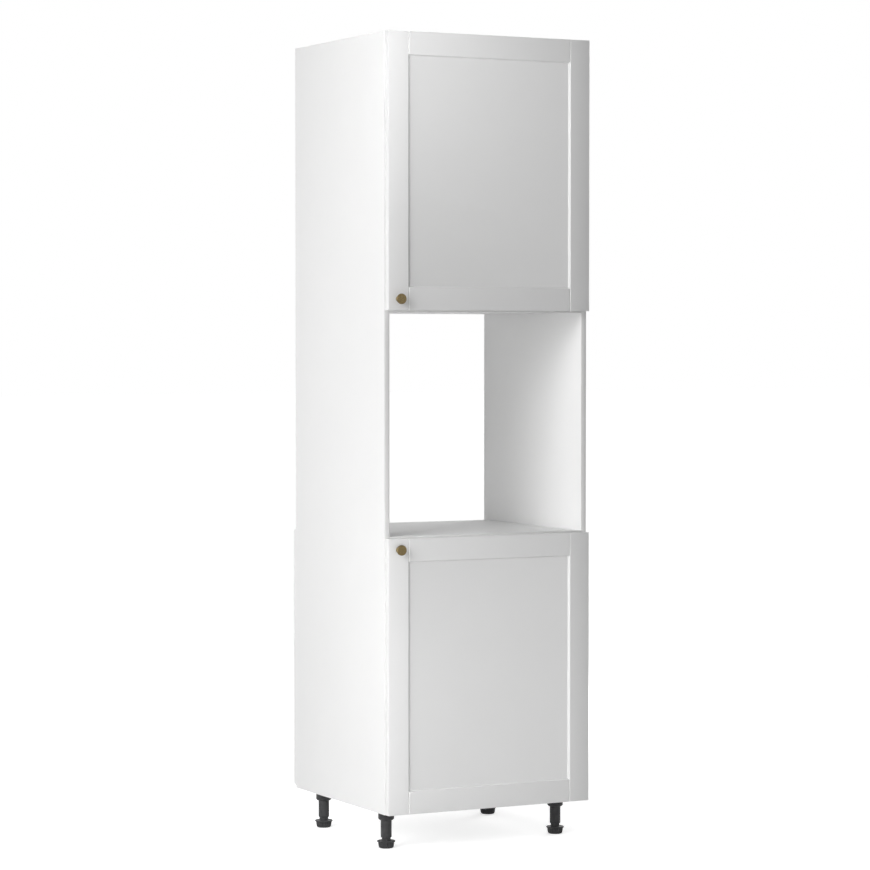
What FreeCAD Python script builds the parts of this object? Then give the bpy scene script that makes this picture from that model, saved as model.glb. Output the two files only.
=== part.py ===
import FreeCAD, Part
import math
import os
from FreeCAD import Vector

# A tall kitchen oven housing: a melamine board carcass on four adjustable legs,
# with an open oven niche between two shaker doors that hang on concealed cup hinges.
# Millimetres. X points to the right, Y to the back and Z up. The origin lies on the
# floor, in the middle of the unit's width and depth.

# Carcass boards
CARCASS_WIDTH = 600.0
SIDE_DEPTH = 544.0
BOARD = 15.0
LOWER_HEIGHT = 720.0  # underside of the body to the niche floor
NICHE_HEIGHT = 580.0  # clear height for the oven
UPPER_HEIGHT = 720.0  # niche ceiling to the top of the body
LEG_HEIGHT = 100.0

# Backs and wall rail
UPPER_BACK_THICKNESS = 3.0
BACK_GROOVE_DEPTH = 6.0
BACK_FIT = 0.2
LOWER_BACK_THICKNESS = 16.0
LOWER_BACK_SIDE_MARGIN = 1.0
LOWER_BACK_END_MARGIN = 3.0
LOWER_BACK_BEVEL = 10.0
RAIL_HEIGHT = 100.0
WALL_HOLE_SPACING = 400.0
WALL_HOLE_RADIUS = 3.5
WALL_ACCESS_RADIUS = 6.0  # of the holes in the thin back, in front of the rail's

# Doors
DOOR_THICKNESS = 18.0
DOOR_GAP = 2.0  # between the doors and the front of the carcass
DOOR_SIDE_REVEAL = 2.0
DOOR_NICHE_REVEAL = 4.0
DOOR_EDGE_CHAMFER = 1.2
FRAME_WIDTH = 59.0  # of the stiles and rails
PANEL_RECESS = 5.0
RECESS_SLOPE = 4.5
GROOVE_HALF_WIDTH = 0.9
GROOVE_DEPTH = 1.2

# Knobs
KNOB_INSET = 29.0  # from the door's left edge and from its end beside the niche
KNOB_OUT = 20.0
KNOB_RADIUS = 13.5
KNOB_RIM = 5.0
KNOB_UNDERCUT = 4.5
KNOB_NECK_RADIUS = 4.6
KNOB_BASE_RADIUS = 7.5
KNOB_BASE = 4.5
KNOB_SCREW_RADIUS = 2.0
KNOB_SCREW_BITE = 9.0  # length of the screw inside the knob
KNOB_SCREW_HEAD_RADIUS = 4.0
KNOB_SCREW_HEAD = 2.4

# Cup hinges
HINGE_END_INSET = 100.0  # from the ends of the door
CUP_RADIUS = 17.5
CUP_DEPTH = 13.2
CUP_EDGE = 3.0  # wood left between the cup's bore and the door's edge
CUP_FIT = 0.1
CUP_BOTTOM_FIT = 0.2
CUP_WALL = 0.7
CUP_FLANGE = 1.2
CUP_FLANGE_RIM = 1.6
CUP_EAR_REACH = 31.0
CUP_EAR_HALF_WIDTH = 7.0
CUP_SHOULDER = 13.0
CUP_SCREW_SPACING = 48.0
CUP_SCREW_OFFSET = 6.0
PIN_INSET = 6.5  # from the door's edge to the hinge pin
PIN_DEPTH = 10.0  # from the door's rear face to the hinge pin
PIN_RADIUS = 1.2
PIN_RUNNING_FIT = 0.05
PIN_SEAT_FIT = 0.02
PIN_END_FIT = 0.1
KNUCKLE_RADIUS = 2.0
KNUCKLE_HALF_LENGTH = 3.0
KNUCKLE_SIDE_FIT = 0.2
LUG_LENGTH = 3.4
ARM_THICKNESS = 2.2
ARM_BEND_RADIUS = 2.5
ARM_HALF_WIDTH = 6.0
ARM_WALL = 1.4
ARM_WALL_FRONT = 9.0
ARM_SLOPE_START = 16.0
ARM_SLOPE_END = 6.0
ARM_RISE = 15.0  # from the side board to the middle of the arm's top
ARM_LENGTH = 60.0
NOSE_REACH = 13.7  # from the pin to the arm's neck
PLATE_BASE = 2.5
PLATE_REACH = 26.0
PLATE_HALF_WIDTH = 8.0
PLATE_CORNER = 4.0
PLATE_RAIL_FIT = 0.4
PLATE_RAIL_FRONT = 18.0
PLATE_RAIL_BACK = 58.0
PLATE_SCREW_INSET = 37.0  # from the front of the carcass
PLATE_SCREW_SPACING = 32.0
ARM_SCREW_INSET = 44.0
ARM_SCREW_RADIUS = 2.4
ARM_SCREW_HEAD_RADIUS = 3.6
ARM_SCREW_HEAD = 2.0
ARM_SCREW_LENGTH = 10.0

# Wood screws: head radius, shank radius and length
PLATE_SCREW = (4.2, 2.2, 14.0)
CUP_SCREW = (3.4, 1.7, 14.0)
BACK_SCREW = (4.0, 1.9, 45.0)
LEG_SCREW = (3.6, 1.8, 14.0)
SCREW_FIT = 0.1

# Door bumpers
BUMPER_RADIUS = 4.0
BUMPER_CLEARANCE = 0.3
BUMPER_END_INSET = 30.0

# Cam and dowel joints
CAM_RADIUS = 7.5
CAM_DEPTH = 11.5
CAM_CENTRE = 34.0  # from the end of the board
CAM_SLOT_HALF_WIDTH = 3.6
CAM_BOLT_RADIUS = 3.0
CAM_BOLT_PAST_CENTRE = 3.0
CAM_BOLT_BITE = 11.0
DOWEL_RADIUS = 4.0
DOWEL_LENGTH = 30.0
DOWEL_BITE = 11.0
JOINT_INSET = 40.0
HOLE_FIT = 0.1
BACK_SCREW_END_INSET = 60.0
BACK_SCREWS_PER_SIDE = 3

# Shelves
SHELF_FRONT_INSET = 20.0
SHELF_SIDE_GAP = 1.5
SHELF_BACK_GAP = 3.0
PEG_RADIUS = 2.4
PEG_DEPTH = 10.0
PEG_HOLE_FIT = 0.1
PEG_HOLE_DEPTH = 11.0
PEG_ROW_FRONT = 69.0
PEG_ROW_BACK = 80.0
SUPPORT_LEDGE = 8.0
SUPPORT_WIDTH = 8.0
SUPPORT_SHEET = 1.2
SUPPORT_DROP = 11.0
PEG_DROP = 6.0  # from the shelf's underside to the peg

# Legs
LEG_SIDE_INSET = 46.0
LEG_FRONT_INSET = 83.0
LEG_BACK_INSET = 80.0
SOCKET_PLATE_HALF = 30.0
SOCKET_PLATE_CORNER = 8.0
SOCKET_PLATE = 3.5
COLLAR_RADIUS = 21.0
COLLAR_HEIGHT = 22.5
COLLAR_BEVEL = 3.0
SPIGOT_LENGTH = 12.0
SPIGOT_FIT = 0.1
LEG_SCREW_CIRCLE_RADIUS = 26.0
LEG_SCREW_COUNT = 3
COLUMN_RADIUS = 14.5
COLUMN_LENGTH = 46.0
SPINDLE_RADIUS = 11.75
SPINDLE_FIT = 0.15
SPINDLE_LENGTH = 33.0
FOOT_HEIGHT = 19.5
FOOT_FLANGE_RADIUS = 24.0
FOOT_FLANGE = 4.0
FOOT_GRIP_RADIUS = 21.3
FOOT_BASE_RADIUS = 20.0
FOOT_RIB_SHARE = 0.06  # depth of the ribs against the radius
FOOT_RIBS = 18
FOOT_TREAD_RADIUS = 17.5
FOOT_TREAD_BEVEL = 2.5

# Round stock is faceted, apart from the hinge pins. The number of sides of screws, pegs and
# dowels, of cams and bumpers, of the hinge cups, of the knobs, of the legs and of their spindles
SMALL_SIDES = 6
CAM_SIDES = 8
CUP_SIDES = 20
KNOB_SIDES = 24
LEG_SIDES = 16
SPINDLE_SIDES = 8

# Planes that follow from the sizes above
UNIT_DEPTH = KNOB_OUT + DOOR_THICKNESS + DOOR_GAP + SIDE_DEPTH + LOWER_BACK_THICKNESS
DOOR_FRONT = KNOB_OUT - UNIT_DEPTH / 2
DOOR_REAR = DOOR_FRONT + DOOR_THICKNESS
FRONT = DOOR_REAR + DOOR_GAP
REAR = FRONT + SIDE_DEPTH
OUTER = CARCASS_WIDTH / 2
INNER = OUTER - BOARD
DOOR_EDGE = OUTER - DOOR_SIDE_REVEAL
BODY_BOTTOM = LEG_HEIGHT
NICHE_FLOOR = BODY_BOTTOM + LOWER_HEIGHT
NICHE_CEILING = NICHE_FLOOR + NICHE_HEIGHT
BODY_TOP = NICHE_CEILING + UPPER_HEIGHT
COLUMN_TOP = BODY_BOTTOM - SOCKET_PLATE - COLLAR_HEIGHT
DOOR_SPANS = {
    "lower": (BODY_BOTTOM, NICHE_FLOOR - DOOR_NICHE_REVEAL),
    "upper": (NICHE_CEILING + DOOR_NICHE_REVEAL, BODY_TOP),
}
KNOB_HEIGHTS = {
    "lower": DOOR_SPANS["lower"][1] - KNOB_INSET,
    "upper": DOOR_SPANS["upper"][0] + KNOB_INSET,
}
PIN_X = DOOR_EDGE - PIN_INSET
PIN_Y = DOOR_REAR - PIN_DEPTH
CUP_X = DOOR_EDGE - CUP_EDGE - CUP_RADIUS

RIGHT = Vector(1, 0, 0)
LEFT = Vector(-1, 0, 0)
BACK = Vector(0, 1, 0)
FORWARD = Vector(0, -1, 0)
UP = Vector(0, 0, 1)
DOWN = Vector(0, 0, -1)

nodes = {}


def block(x, y, z):
    """A box between two values on each axis."""
    return Part.makeBox(x[1] - x[0], y[1] - y[0], z[1] - z[0], Vector(x[0], y[0], z[0]))


def fuse(shapes):
    return shapes[0].multiFuse(shapes[1:]).removeSplitter()


def outline(points):
    return Part.makePolygon(points + points[:1])


def ring(sides, radius, centre, axis):
    """The corners of a regular outline square to an axis, at the radius from it."""
    across = UP if abs(axis.z) < 0.5 else RIGHT
    along = axis.cross(across)
    points = []
    for number in range(sides):
        angle = 2 * math.pi * (number + 0.5) / sides
        points.append(centre + across * radius * math.cos(angle) + along * radius * math.sin(angle))
    return points


def prism(sides, radius, length, start, direction):
    return Part.Face(outline(ring(sides, radius, start, direction))).extrude(direction * length)


def faceted(rings):
    """A solid with flat faces between rings of corners that follow each other."""
    faces = [Part.Face(outline(rings[0])), Part.Face(outline(rings[-1]))]
    for near, far in zip(rings, rings[1:]):
        for number in range(len(near)):
            before = number - 1
            corners = [near[before], near[number], far[number], far[before]]
            faces.append(Part.Face(outline(corners)))
    shell = Part.makeShell(faces)
    shell.sewShape()
    solid = Part.makeSolid(shell)
    return solid if solid.Volume > 0 else solid.reversed()


def countersunk(size, head, into, fit=0.0):
    """A countersunk wood screw, or the hole for it when a fit is given."""
    head_radius, shank_radius, length = size
    sink = head_radius - shank_radius
    sections = [
        ring(SMALL_SIDES, head_radius + fit, head, into),
        ring(SMALL_SIDES, shank_radius + fit, head + into * sink, into),
        ring(SMALL_SIDES, shank_radius + fit, head + into * (length + fit), into),
    ]
    return faceted(sections)


# Cam and dowel joints between the cross boards and the sides


def cross_boards():
    """Each cross board's lowest height, and whether its cams are on its top face."""
    return {
        "bottom_panel": (BODY_BOTTOM, False),
        "niche_floor_panel": (NICHE_FLOOR - BOARD, False),
        "niche_top_panel": (NICHE_CEILING, True),
        "top_panel": (BODY_TOP - BOARD, True),
    }


def cam_depths():
    return (FRONT + JOINT_INSET, REAR - JOINT_INSET)


def dowel_depth():
    return (FRONT + REAR) / 2


def dowel(side, y, z, fit=0.0):
    start = Vector(side * (INNER + DOWEL_BITE + fit), y, z)
    length = DOWEL_LENGTH + 2 * fit
    return prism(SMALL_SIDES, DOWEL_RADIUS + fit, length, start, RIGHT * -side)


def cam_bolt(side, y, z, fit=0.0):
    start = Vector(side * (INNER + CAM_BOLT_BITE + fit), y, z)
    length = CAM_BOLT_BITE + CAM_CENTRE - CAM_BOLT_PAST_CENTRE + 2 * fit
    return prism(SMALL_SIDES, CAM_BOLT_RADIUS + fit, length, start, RIGHT * -side)


def cam(side, y, low, on_top, fit=0.0):
    start = Vector(side * (INNER - CAM_CENTRE), y, low + BOARD if on_top else low)
    direction = DOWN if on_top else UP
    return prism(CAM_SIDES, CAM_RADIUS + fit, CAM_DEPTH + fit, start, direction)


def slotted_cam(side, y, low, on_top):
    middle = low + BOARD / 2
    slot = block(
        sorted((side * (INNER - CAM_CENTRE - CAM_SLOT_HALF_WIDTH), side * INNER)),
        (y - CAM_SLOT_HALF_WIDTH, y + CAM_SLOT_HALF_WIDTH),
        (middle - CAM_SLOT_HALF_WIDTH, middle + CAM_SLOT_HALF_WIDTH),
    )
    return cam(side, y, low, on_top).cut(slot)


def rail_dowel_places():
    top = BODY_TOP - BOARD
    return [(REAR - BOARD / 2, top - RAIL_HEIGHT * share) for share in (0.25, 0.75)]


def side_joint_holes(side):
    holes = []
    for low, _ in cross_boards().values():
        for y in cam_depths():
            holes.append(cam_bolt(side, y, low + BOARD / 2, HOLE_FIT))
        holes.append(dowel(side, dowel_depth(), low + BOARD / 2, HOLE_FIT))
    for y, z in rail_dowel_places():
        holes.append(dowel(side, y, z, HOLE_FIT))
    return holes


# Hinges, placed by the pin's height


def hinge_heights(door):
    low, high = DOOR_SPANS[door]
    return (low + HINGE_END_INSET, high - HINGE_END_INSET)


def strip(corners, half, radii):
    """The face of a bent strip about a centre line, with a bend radius for each inner corner."""
    edges = []
    ends = []
    for side in (1, -1):
        first = (corners[1] - corners[0]).normalize()
        start = corners[0] + Vector(-first.y, first.x, 0) * side * half
        ends.append([start])
        for before, corner, after, radius in zip(corners, corners[1:], corners[2:], radii):
            came = (corner - before).normalize()
            goes = (after - corner).normalize()
            turn = math.atan2(came.x * goes.y - came.y * goes.x, came.dot(goes))
            left_of_came = Vector(-came.y, came.x, 0)
            left_of_goes = Vector(-goes.y, goes.x, 0)
            if radius == 0:
                mitre = (left_of_came + left_of_goes).normalize() * side * half / math.cos(turn / 2)
                edges.append(Part.LineSegment(start, corner + mitre).toShape())
                start = corner + mitre
                continue
            reach = radius * math.tan(abs(turn) / 2)
            hand = math.copysign(1, turn)
            centre = corner - came * reach + left_of_came * hand * radius
            arc_start = corner - came * reach + left_of_came * side * half
            arc_end = corner + goes * reach + left_of_goes * side * half
            arc_middle = centre + (corner - centre).normalize() * (radius - side * half * hand)
            edges.append(Part.LineSegment(start, arc_start).toShape())
            edges.append(Part.Arc(arc_start, arc_middle, arc_end).toShape())
            start = arc_end
        last = (corners[-1] - corners[-2]).normalize()
        end = corners[-1] + Vector(-last.y, last.x, 0) * side * half
        edges.append(Part.LineSegment(start, end).toShape())
        ends[-1].append(end)
    edges.append(Part.LineSegment(ends[0][0], ends[1][0]).toShape())
    edges.append(Part.LineSegment(ends[0][1], ends[1][1]).toShape())
    return Part.Face(Part.Wire(Part.__sortEdges__(edges)))


def hinge_arm(height):
    """The cranked arm: a channel on the plate, with a gooseneck to the pin."""
    half = ARM_THICKNESS / 2
    top = INNER - ARM_RISE
    neck = PIN_X - NOSE_REACH
    corners = [
        Vector(top, FRONT + ARM_LENGTH, height - ARM_HALF_WIDTH),
        Vector(top, FRONT + ARM_SLOPE_START, height - ARM_HALF_WIDTH),
        Vector(neck, FRONT + ARM_SLOPE_END, height - ARM_HALF_WIDTH),
        Vector(neck, PIN_Y, height - ARM_HALF_WIDTH),
        Vector(PIN_X, PIN_Y, height - ARM_HALF_WIDTH),
    ]
    profile = strip(corners, half, (0, 0, ARM_BEND_RADIUS))
    blade = profile.extrude(UP * 2 * ARM_HALF_WIDTH)
    beside_tongue = []
    for low, high in (
        (height - ARM_HALF_WIDTH, height - KNUCKLE_HALF_LENGTH),
        (height + KNUCKLE_HALF_LENGTH, height + ARM_HALF_WIDTH),
    ):
        depth = (PIN_Y - KNUCKLE_RADIUS, PIN_Y + KNUCKLE_RADIUS)
        beside_tongue.append(block((neck + half, DOOR_EDGE), depth, (low, high)))
    blade = blade.cut(beside_tongue)
    foot = INNER - PLATE_BASE - PLATE_RAIL_FIT
    wall_points = [
        Vector(top - half, FRONT + ARM_LENGTH, 0),
        Vector(top - half, FRONT + ARM_SLOPE_START, 0),
        Vector(neck - half, FRONT + ARM_WALL_FRONT, 0),
        Vector(foot, FRONT + ARM_SLOPE_START, 0),
        Vector(foot, FRONT + ARM_LENGTH, 0),
    ]
    walls = []
    for low in (height - ARM_HALF_WIDTH - ARM_WALL, height + ARM_HALF_WIDTH):
        raised = [point + UP * low for point in wall_points]
        walls.append(Part.Face(outline(raised)).extrude(UP * ARM_WALL))
    knuckle_start = Vector(PIN_X, PIN_Y, height - KNUCKLE_HALF_LENGTH)
    knuckle = prism(CAM_SIDES, KNUCKLE_RADIUS, 2 * KNUCKLE_HALF_LENGTH, knuckle_start, UP)
    bore_radius = PIN_RADIUS + PIN_RUNNING_FIT
    bore = Part.makeCylinder(bore_radius, 2 * KNUCKLE_HALF_LENGTH, knuckle_start, UP)
    return fuse([blade, knuckle] + walls).cut([bore, arm_screw(height, HOLE_FIT)])


def arm_screw_seat(height):
    return Vector(INNER - ARM_RISE - ARM_THICKNESS / 2, FRONT + ARM_SCREW_INSET, height)


def arm_screw(height, fit=0.0):
    radius = ARM_SCREW_RADIUS + fit
    return prism(SMALL_SIDES, radius, ARM_SCREW_LENGTH + fit, arm_screw_seat(height), RIGHT)


def headed_arm_screw(height):
    seat = arm_screw_seat(height)
    head = prism(CAM_SIDES, ARM_SCREW_HEAD_RADIUS, ARM_SCREW_HEAD, seat, LEFT)
    return fuse([arm_screw(height), head])


def plate_screws(height, fit=0.0):
    screws = []
    for side in (-1, 1):
        z = height + side * PLATE_SCREW_SPACING / 2
        head = Vector(INNER - PLATE_BASE, FRONT + PLATE_SCREW_INSET, z)
        screws.append(countersunk(PLATE_SCREW, head, RIGHT, fit))
    return screws


def hinge_plate(height):
    """The cast plate on the side board, with the rail that carries the arm."""
    wings = block(
        (INNER - PLATE_BASE, INNER),
        (FRONT + PLATE_SCREW_INSET - PLATE_HALF_WIDTH, FRONT + PLATE_SCREW_INSET + PLATE_HALF_WIDTH),
        (height - PLATE_REACH, height + PLATE_REACH),
    )
    corner_edges = [edge for edge in wings.Edges if edge.Length < PLATE_BASE + 0.01]
    wings = wings.makeChamfer(PLATE_CORNER, corner_edges)
    rail_half = ARM_HALF_WIDTH - PLATE_RAIL_FIT
    rail = block(
        (INNER - ARM_RISE + ARM_THICKNESS / 2, INNER),
        (FRONT + PLATE_RAIL_FRONT, FRONT + PLATE_RAIL_BACK),
        (height - rail_half, height + rail_half),
    )
    return fuse([wings, rail]).cut(plate_screws(height, SCREW_FIT) + [arm_screw(height, HOLE_FIT)])


def cup_screws(height, fit=0.0):
    screws = []
    for side in (-1, 1):
        z = height + side * CUP_SCREW_SPACING / 2
        head = Vector(CUP_X - CUP_SCREW_OFFSET, DOOR_REAR + CUP_FLANGE, z)
        screws.append(countersunk(CUP_SCREW, head, FORWARD, fit))
    return screws


def cup_flange(height):
    """The flange on the door's rear face, cut off straight beside the door's edge."""
    ear_x = CUP_X - CUP_SCREW_OFFSET
    left = CUP_X - CUP_RADIUS - CUP_FLANGE_RIM
    right = DOOR_EDGE - CUP_EDGE
    half_outline = [
        (right, -CUP_SHOULDER),
        (right, CUP_SHOULDER),
        (ear_x + CUP_EAR_HALF_WIDTH, CUP_EAR_REACH),
        (ear_x - CUP_EAR_HALF_WIDTH, CUP_EAR_REACH),
        (left, CUP_SHOULDER),
        (left, -CUP_SHOULDER),
        (ear_x - CUP_EAR_HALF_WIDTH, -CUP_EAR_REACH),
        (ear_x + CUP_EAR_HALF_WIDTH, -CUP_EAR_REACH),
    ]
    points = [Vector(x, DOOR_REAR, height + z) for x, z in half_outline]
    return Part.Face(outline(points)).extrude(BACK * CUP_FLANGE)


def pin_lug(low):
    """An upright in the cup, with an eye that holds one end of the pin."""
    radius = KNUCKLE_RADIUS
    slant = radius * math.sqrt(0.5)
    floor = DOOR_REAR - CUP_DEPTH + CUP_BOTTOM_FIT
    points = [
        Vector(PIN_X - radius, floor, low),
        Vector(PIN_X + radius, floor, low),
        Vector(PIN_X + radius, PIN_Y, low),
        Vector(PIN_X + slant, PIN_Y + slant, low),
        Vector(PIN_X, PIN_Y + radius, low),
        Vector(PIN_X - slant, PIN_Y + slant, low),
        Vector(PIN_X - radius, PIN_Y, low),
    ]
    return Part.Face(outline(points)).extrude(UP * LUG_LENGTH)


def hinge_cup(height):
    """The pressed cup with its flange, and the two lugs that hold the pin."""
    mouth = Vector(CUP_X, DOOR_REAR, height)
    depth = CUP_DEPTH - CUP_BOTTOM_FIT
    outer = prism(CUP_SIDES, CUP_RADIUS - CUP_FIT, depth, mouth, FORWARD)
    hollow = prism(
        CUP_SIDES,
        CUP_RADIUS - CUP_FIT - CUP_WALL,
        depth - CUP_WALL + CUP_FLANGE,
        mouth + BACK * CUP_FLANGE,
        FORWARD,
    )
    cup = fuse([outer, cup_flange(height)]).cut(hollow)
    lugs_end = KNUCKLE_HALF_LENGTH + KNUCKLE_SIDE_FIT + LUG_LENGTH
    lugs = [pin_lug(height - lugs_end), pin_lug(height + lugs_end - LUG_LENGTH)]
    bore_radius = (PIN_RADIUS + PIN_SEAT_FIT) / math.cos(math.pi / CAM_SIDES)
    bore_start = Vector(PIN_X, PIN_Y, height - lugs_end)
    bore = prism(CAM_SIDES, bore_radius, 2 * lugs_end, bore_start, UP)
    return fuse([cup] + lugs).cut([bore] + cup_screws(height, SCREW_FIT))


def hinge_pin(height):
    half = KNUCKLE_HALF_LENGTH + KNUCKLE_SIDE_FIT + LUG_LENGTH - PIN_END_FIT
    return Part.makeCylinder(PIN_RADIUS, 2 * half, Vector(PIN_X, PIN_Y, height - half), UP)


# Shelf supports


def shelf_levels():
    """The underside height of each shelf, halfway up its compartment."""
    lower = (BODY_BOTTOM + BOARD + NICHE_FLOOR - BOARD) / 2
    upper = (NICHE_CEILING + BOARD + BODY_TOP - BOARD) / 2
    return {"lower": lower - BOARD / 2, "upper": upper - BOARD / 2}


def peg_rows():
    return (FRONT + PEG_ROW_FRONT, REAR - PEG_ROW_BACK)


def peg_holes(side):
    holes = []
    for level in shelf_levels().values():
        for y in peg_rows():
            start = Vector(side * INNER, y, level - PEG_DROP)
            radius = PEG_RADIUS + PEG_HOLE_FIT
            holes.append(prism(SMALL_SIDES, radius, PEG_HOLE_DEPTH, start, RIGHT * side))
    return holes


def shelf_support(side, y, level):
    """A bent sheet ledge with a peg that plugs into the side."""
    face = side * INNER
    width = (y - SUPPORT_WIDTH / 2, y + SUPPORT_WIDTH / 2)
    ledge = block(
        sorted((face, face - side * SUPPORT_LEDGE)), width, (level - SUPPORT_SHEET, level)
    )
    back = block(
        sorted((face, face - side * SUPPORT_SHEET)), width, (level - SUPPORT_DROP, level)
    )
    peg_start = Vector(face, y, level - PEG_DROP)
    peg = prism(SMALL_SIDES, PEG_RADIUS, PEG_DEPTH, peg_start, RIGHT * side)
    return fuse([ledge, back, peg])


# Side panels


def back_screws(fit=0.0):
    screws = []
    low = BODY_BOTTOM + BACK_SCREW_END_INSET
    high = NICHE_FLOOR - BACK_SCREW_END_INSET
    for side in (-1, 1):
        for number in range(BACK_SCREWS_PER_SIDE):
            z = low + (high - low) * number / (BACK_SCREWS_PER_SIDE - 1)
            head = Vector(side * (OUTER - BOARD / 2), REAR + LOWER_BACK_THICKNESS, z)
            screws.append(countersunk(BACK_SCREW, head, FORWARD, fit))
    return screws


def upper_back_box(fit=0.0):
    half = INNER + BACK_GROOVE_DEPTH
    return block(
        (-half - fit, half + fit),
        (REAR - BOARD - UPPER_BACK_THICKNESS - fit, REAR - BOARD + fit),
        (
            NICHE_CEILING + BOARD - BACK_GROOVE_DEPTH - fit,
            BODY_TOP - BOARD + BACK_GROOVE_DEPTH + fit,
        ),
    )


def side_panel(side):
    board = block(
        sorted((side * INNER, side * OUTER)), (FRONT, REAR), (BODY_BOTTOM, BODY_TOP)
    )
    cuts = side_joint_holes(side) + peg_holes(side) + back_screws(SCREW_FIT)
    cuts.append(upper_back_box(BACK_FIT))
    if side > 0:
        for door in DOOR_SPANS:
            for height in hinge_heights(door):
                cuts += plate_screws(height, SCREW_FIT)
    return board.cut(cuts)


nodes["left_side_panel"] = side_panel(-1)
nodes["right_side_panel"] = side_panel(1)


# Cross boards


def leg_places():
    x = OUTER - LEG_SIDE_INSET
    front = FRONT + LEG_FRONT_INSET
    back = REAR - LEG_BACK_INSET
    return {
        "front_left": (-x, front),
        "front_right": (x, front),
        "rear_left": (-x, back),
        "rear_right": (x, back),
    }


def leg_screws(x, y, fit=0.0):
    screws = []
    for number in range(LEG_SCREW_COUNT):
        angle = math.radians(90) + 2 * math.pi * number / LEG_SCREW_COUNT
        offset_x = LEG_SCREW_CIRCLE_RADIUS * math.cos(angle)
        offset_y = LEG_SCREW_CIRCLE_RADIUS * math.sin(angle)
        head = Vector(x + offset_x, y + offset_y, BODY_BOTTOM - SOCKET_PLATE)
        screws.append(countersunk(LEG_SCREW, head, UP, fit))
    return screws


def cross_board(name):
    low, cams_on_top = cross_boards()[name]
    board = block((-INNER, INNER), (FRONT, REAR), (low, low + BOARD))
    cuts = [upper_back_box(BACK_FIT)]
    for side in (-1, 1):
        for y in cam_depths():
            cuts.append(cam(side, y, low, cams_on_top, HOLE_FIT))
            cuts.append(cam_bolt(side, y, low + BOARD / 2, HOLE_FIT))
        cuts.append(dowel(side, dowel_depth(), low + BOARD / 2, HOLE_FIT))
    if name == "bottom_panel":
        for x, y in leg_places().values():
            cuts += leg_screws(x, y, SCREW_FIT)
    return board.cut(cuts)


for board_name in cross_boards():
    nodes[board_name] = cross_board(board_name)

cams = []
bolts = []
dowels = []
for hand in (-1, 1):
    for board_low, board_cams_on_top in cross_boards().values():
        for joint_y in cam_depths():
            cams.append(slotted_cam(hand, joint_y, board_low, board_cams_on_top))
            bolts.append(cam_bolt(hand, joint_y, board_low + BOARD / 2))
        dowels.append(dowel(hand, dowel_depth(), board_low + BOARD / 2))
    for rail_y, rail_z in rail_dowel_places():
        dowels.append(dowel(hand, rail_y, rail_z))
nodes["cam_locks"] = Part.makeCompound(cams)
nodes["cam_bolts"] = Part.makeCompound(bolts)
nodes["dowels"] = Part.makeCompound(dowels)


# Backs and wall rail


def wall_hole_places():
    z = BODY_TOP - BOARD - RAIL_HEIGHT / 2
    return [Vector(side * WALL_HOLE_SPACING / 2, REAR, z) for side in (-1, 1)]


wall_rail = block(
    (-INNER, INNER), (REAR - BOARD, REAR), (BODY_TOP - BOARD - RAIL_HEIGHT, BODY_TOP - BOARD)
)
rail_cuts = [
    Part.makeCylinder(WALL_HOLE_RADIUS, BOARD, place, FORWARD) for place in wall_hole_places()
]
for hand in (-1, 1):
    for rail_y, rail_z in rail_dowel_places():
        rail_cuts.append(dowel(hand, rail_y, rail_z, HOLE_FIT))
nodes["wall_fixing_rail"] = wall_rail.cut(rail_cuts)
access_depth = BOARD + UPPER_BACK_THICKNESS
access_holes = [
    prism(CAM_SIDES, WALL_ACCESS_RADIUS, access_depth, place, FORWARD)
    for place in wall_hole_places()
]
nodes["upper_back_panel"] = upper_back_box().cut(access_holes)

back_half = OUTER - LOWER_BACK_SIDE_MARGIN
back_low = BODY_BOTTOM + LOWER_BACK_END_MARGIN
back_high = NICHE_FLOOR - LOWER_BACK_END_MARGIN
back_profile = [
    Vector(-back_half, REAR, back_low),
    Vector(-back_half, REAR + LOWER_BACK_THICKNESS, back_low + LOWER_BACK_BEVEL),
    Vector(-back_half, REAR + LOWER_BACK_THICKNESS, back_high - LOWER_BACK_BEVEL),
    Vector(-back_half, REAR, back_high),
]
lower_back = Part.Face(outline(back_profile)).extrude(RIGHT * 2 * back_half)
nodes["lower_back_panel"] = lower_back.cut(back_screws(SCREW_FIT))
nodes["back_screws"] = Part.makeCompound(back_screws())


# Shelves

shelf_backs = {
    "lower": REAR - SHELF_BACK_GAP,
    "upper": REAR - BOARD - UPPER_BACK_THICKNESS - SHELF_BACK_GAP,
}
supports = []
for compartment, shelf_level in shelf_levels().items():
    shelf_half = INNER - SHELF_SIDE_GAP
    nodes[compartment + "_shelf"] = block(
        (-shelf_half, shelf_half),
        (FRONT + SHELF_FRONT_INSET, shelf_backs[compartment]),
        (shelf_level, shelf_level + BOARD),
    )
    for hand in (-1, 1):
        for row in peg_rows():
            supports.append(shelf_support(hand, row, shelf_level))
nodes["shelf_supports"] = Part.makeCompound(supports)


# Doors


def rectangle(inset, low, high, y):
    left = -DOOR_EDGE + inset
    right = DOOR_EDGE - inset
    return [
        Vector(left, y, low + inset),
        Vector(right, y, low + inset),
        Vector(right, y, high - inset),
        Vector(left, y, high - inset),
    ]


def knob_screw_hole(door):
    start = Vector(-DOOR_EDGE + KNOB_INSET, DOOR_REAR, KNOB_HEIGHTS[door])
    return prism(SMALL_SIDES, KNOB_SCREW_RADIUS + HOLE_FIT, DOOR_THICKNESS, start, FORWARD)


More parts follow.
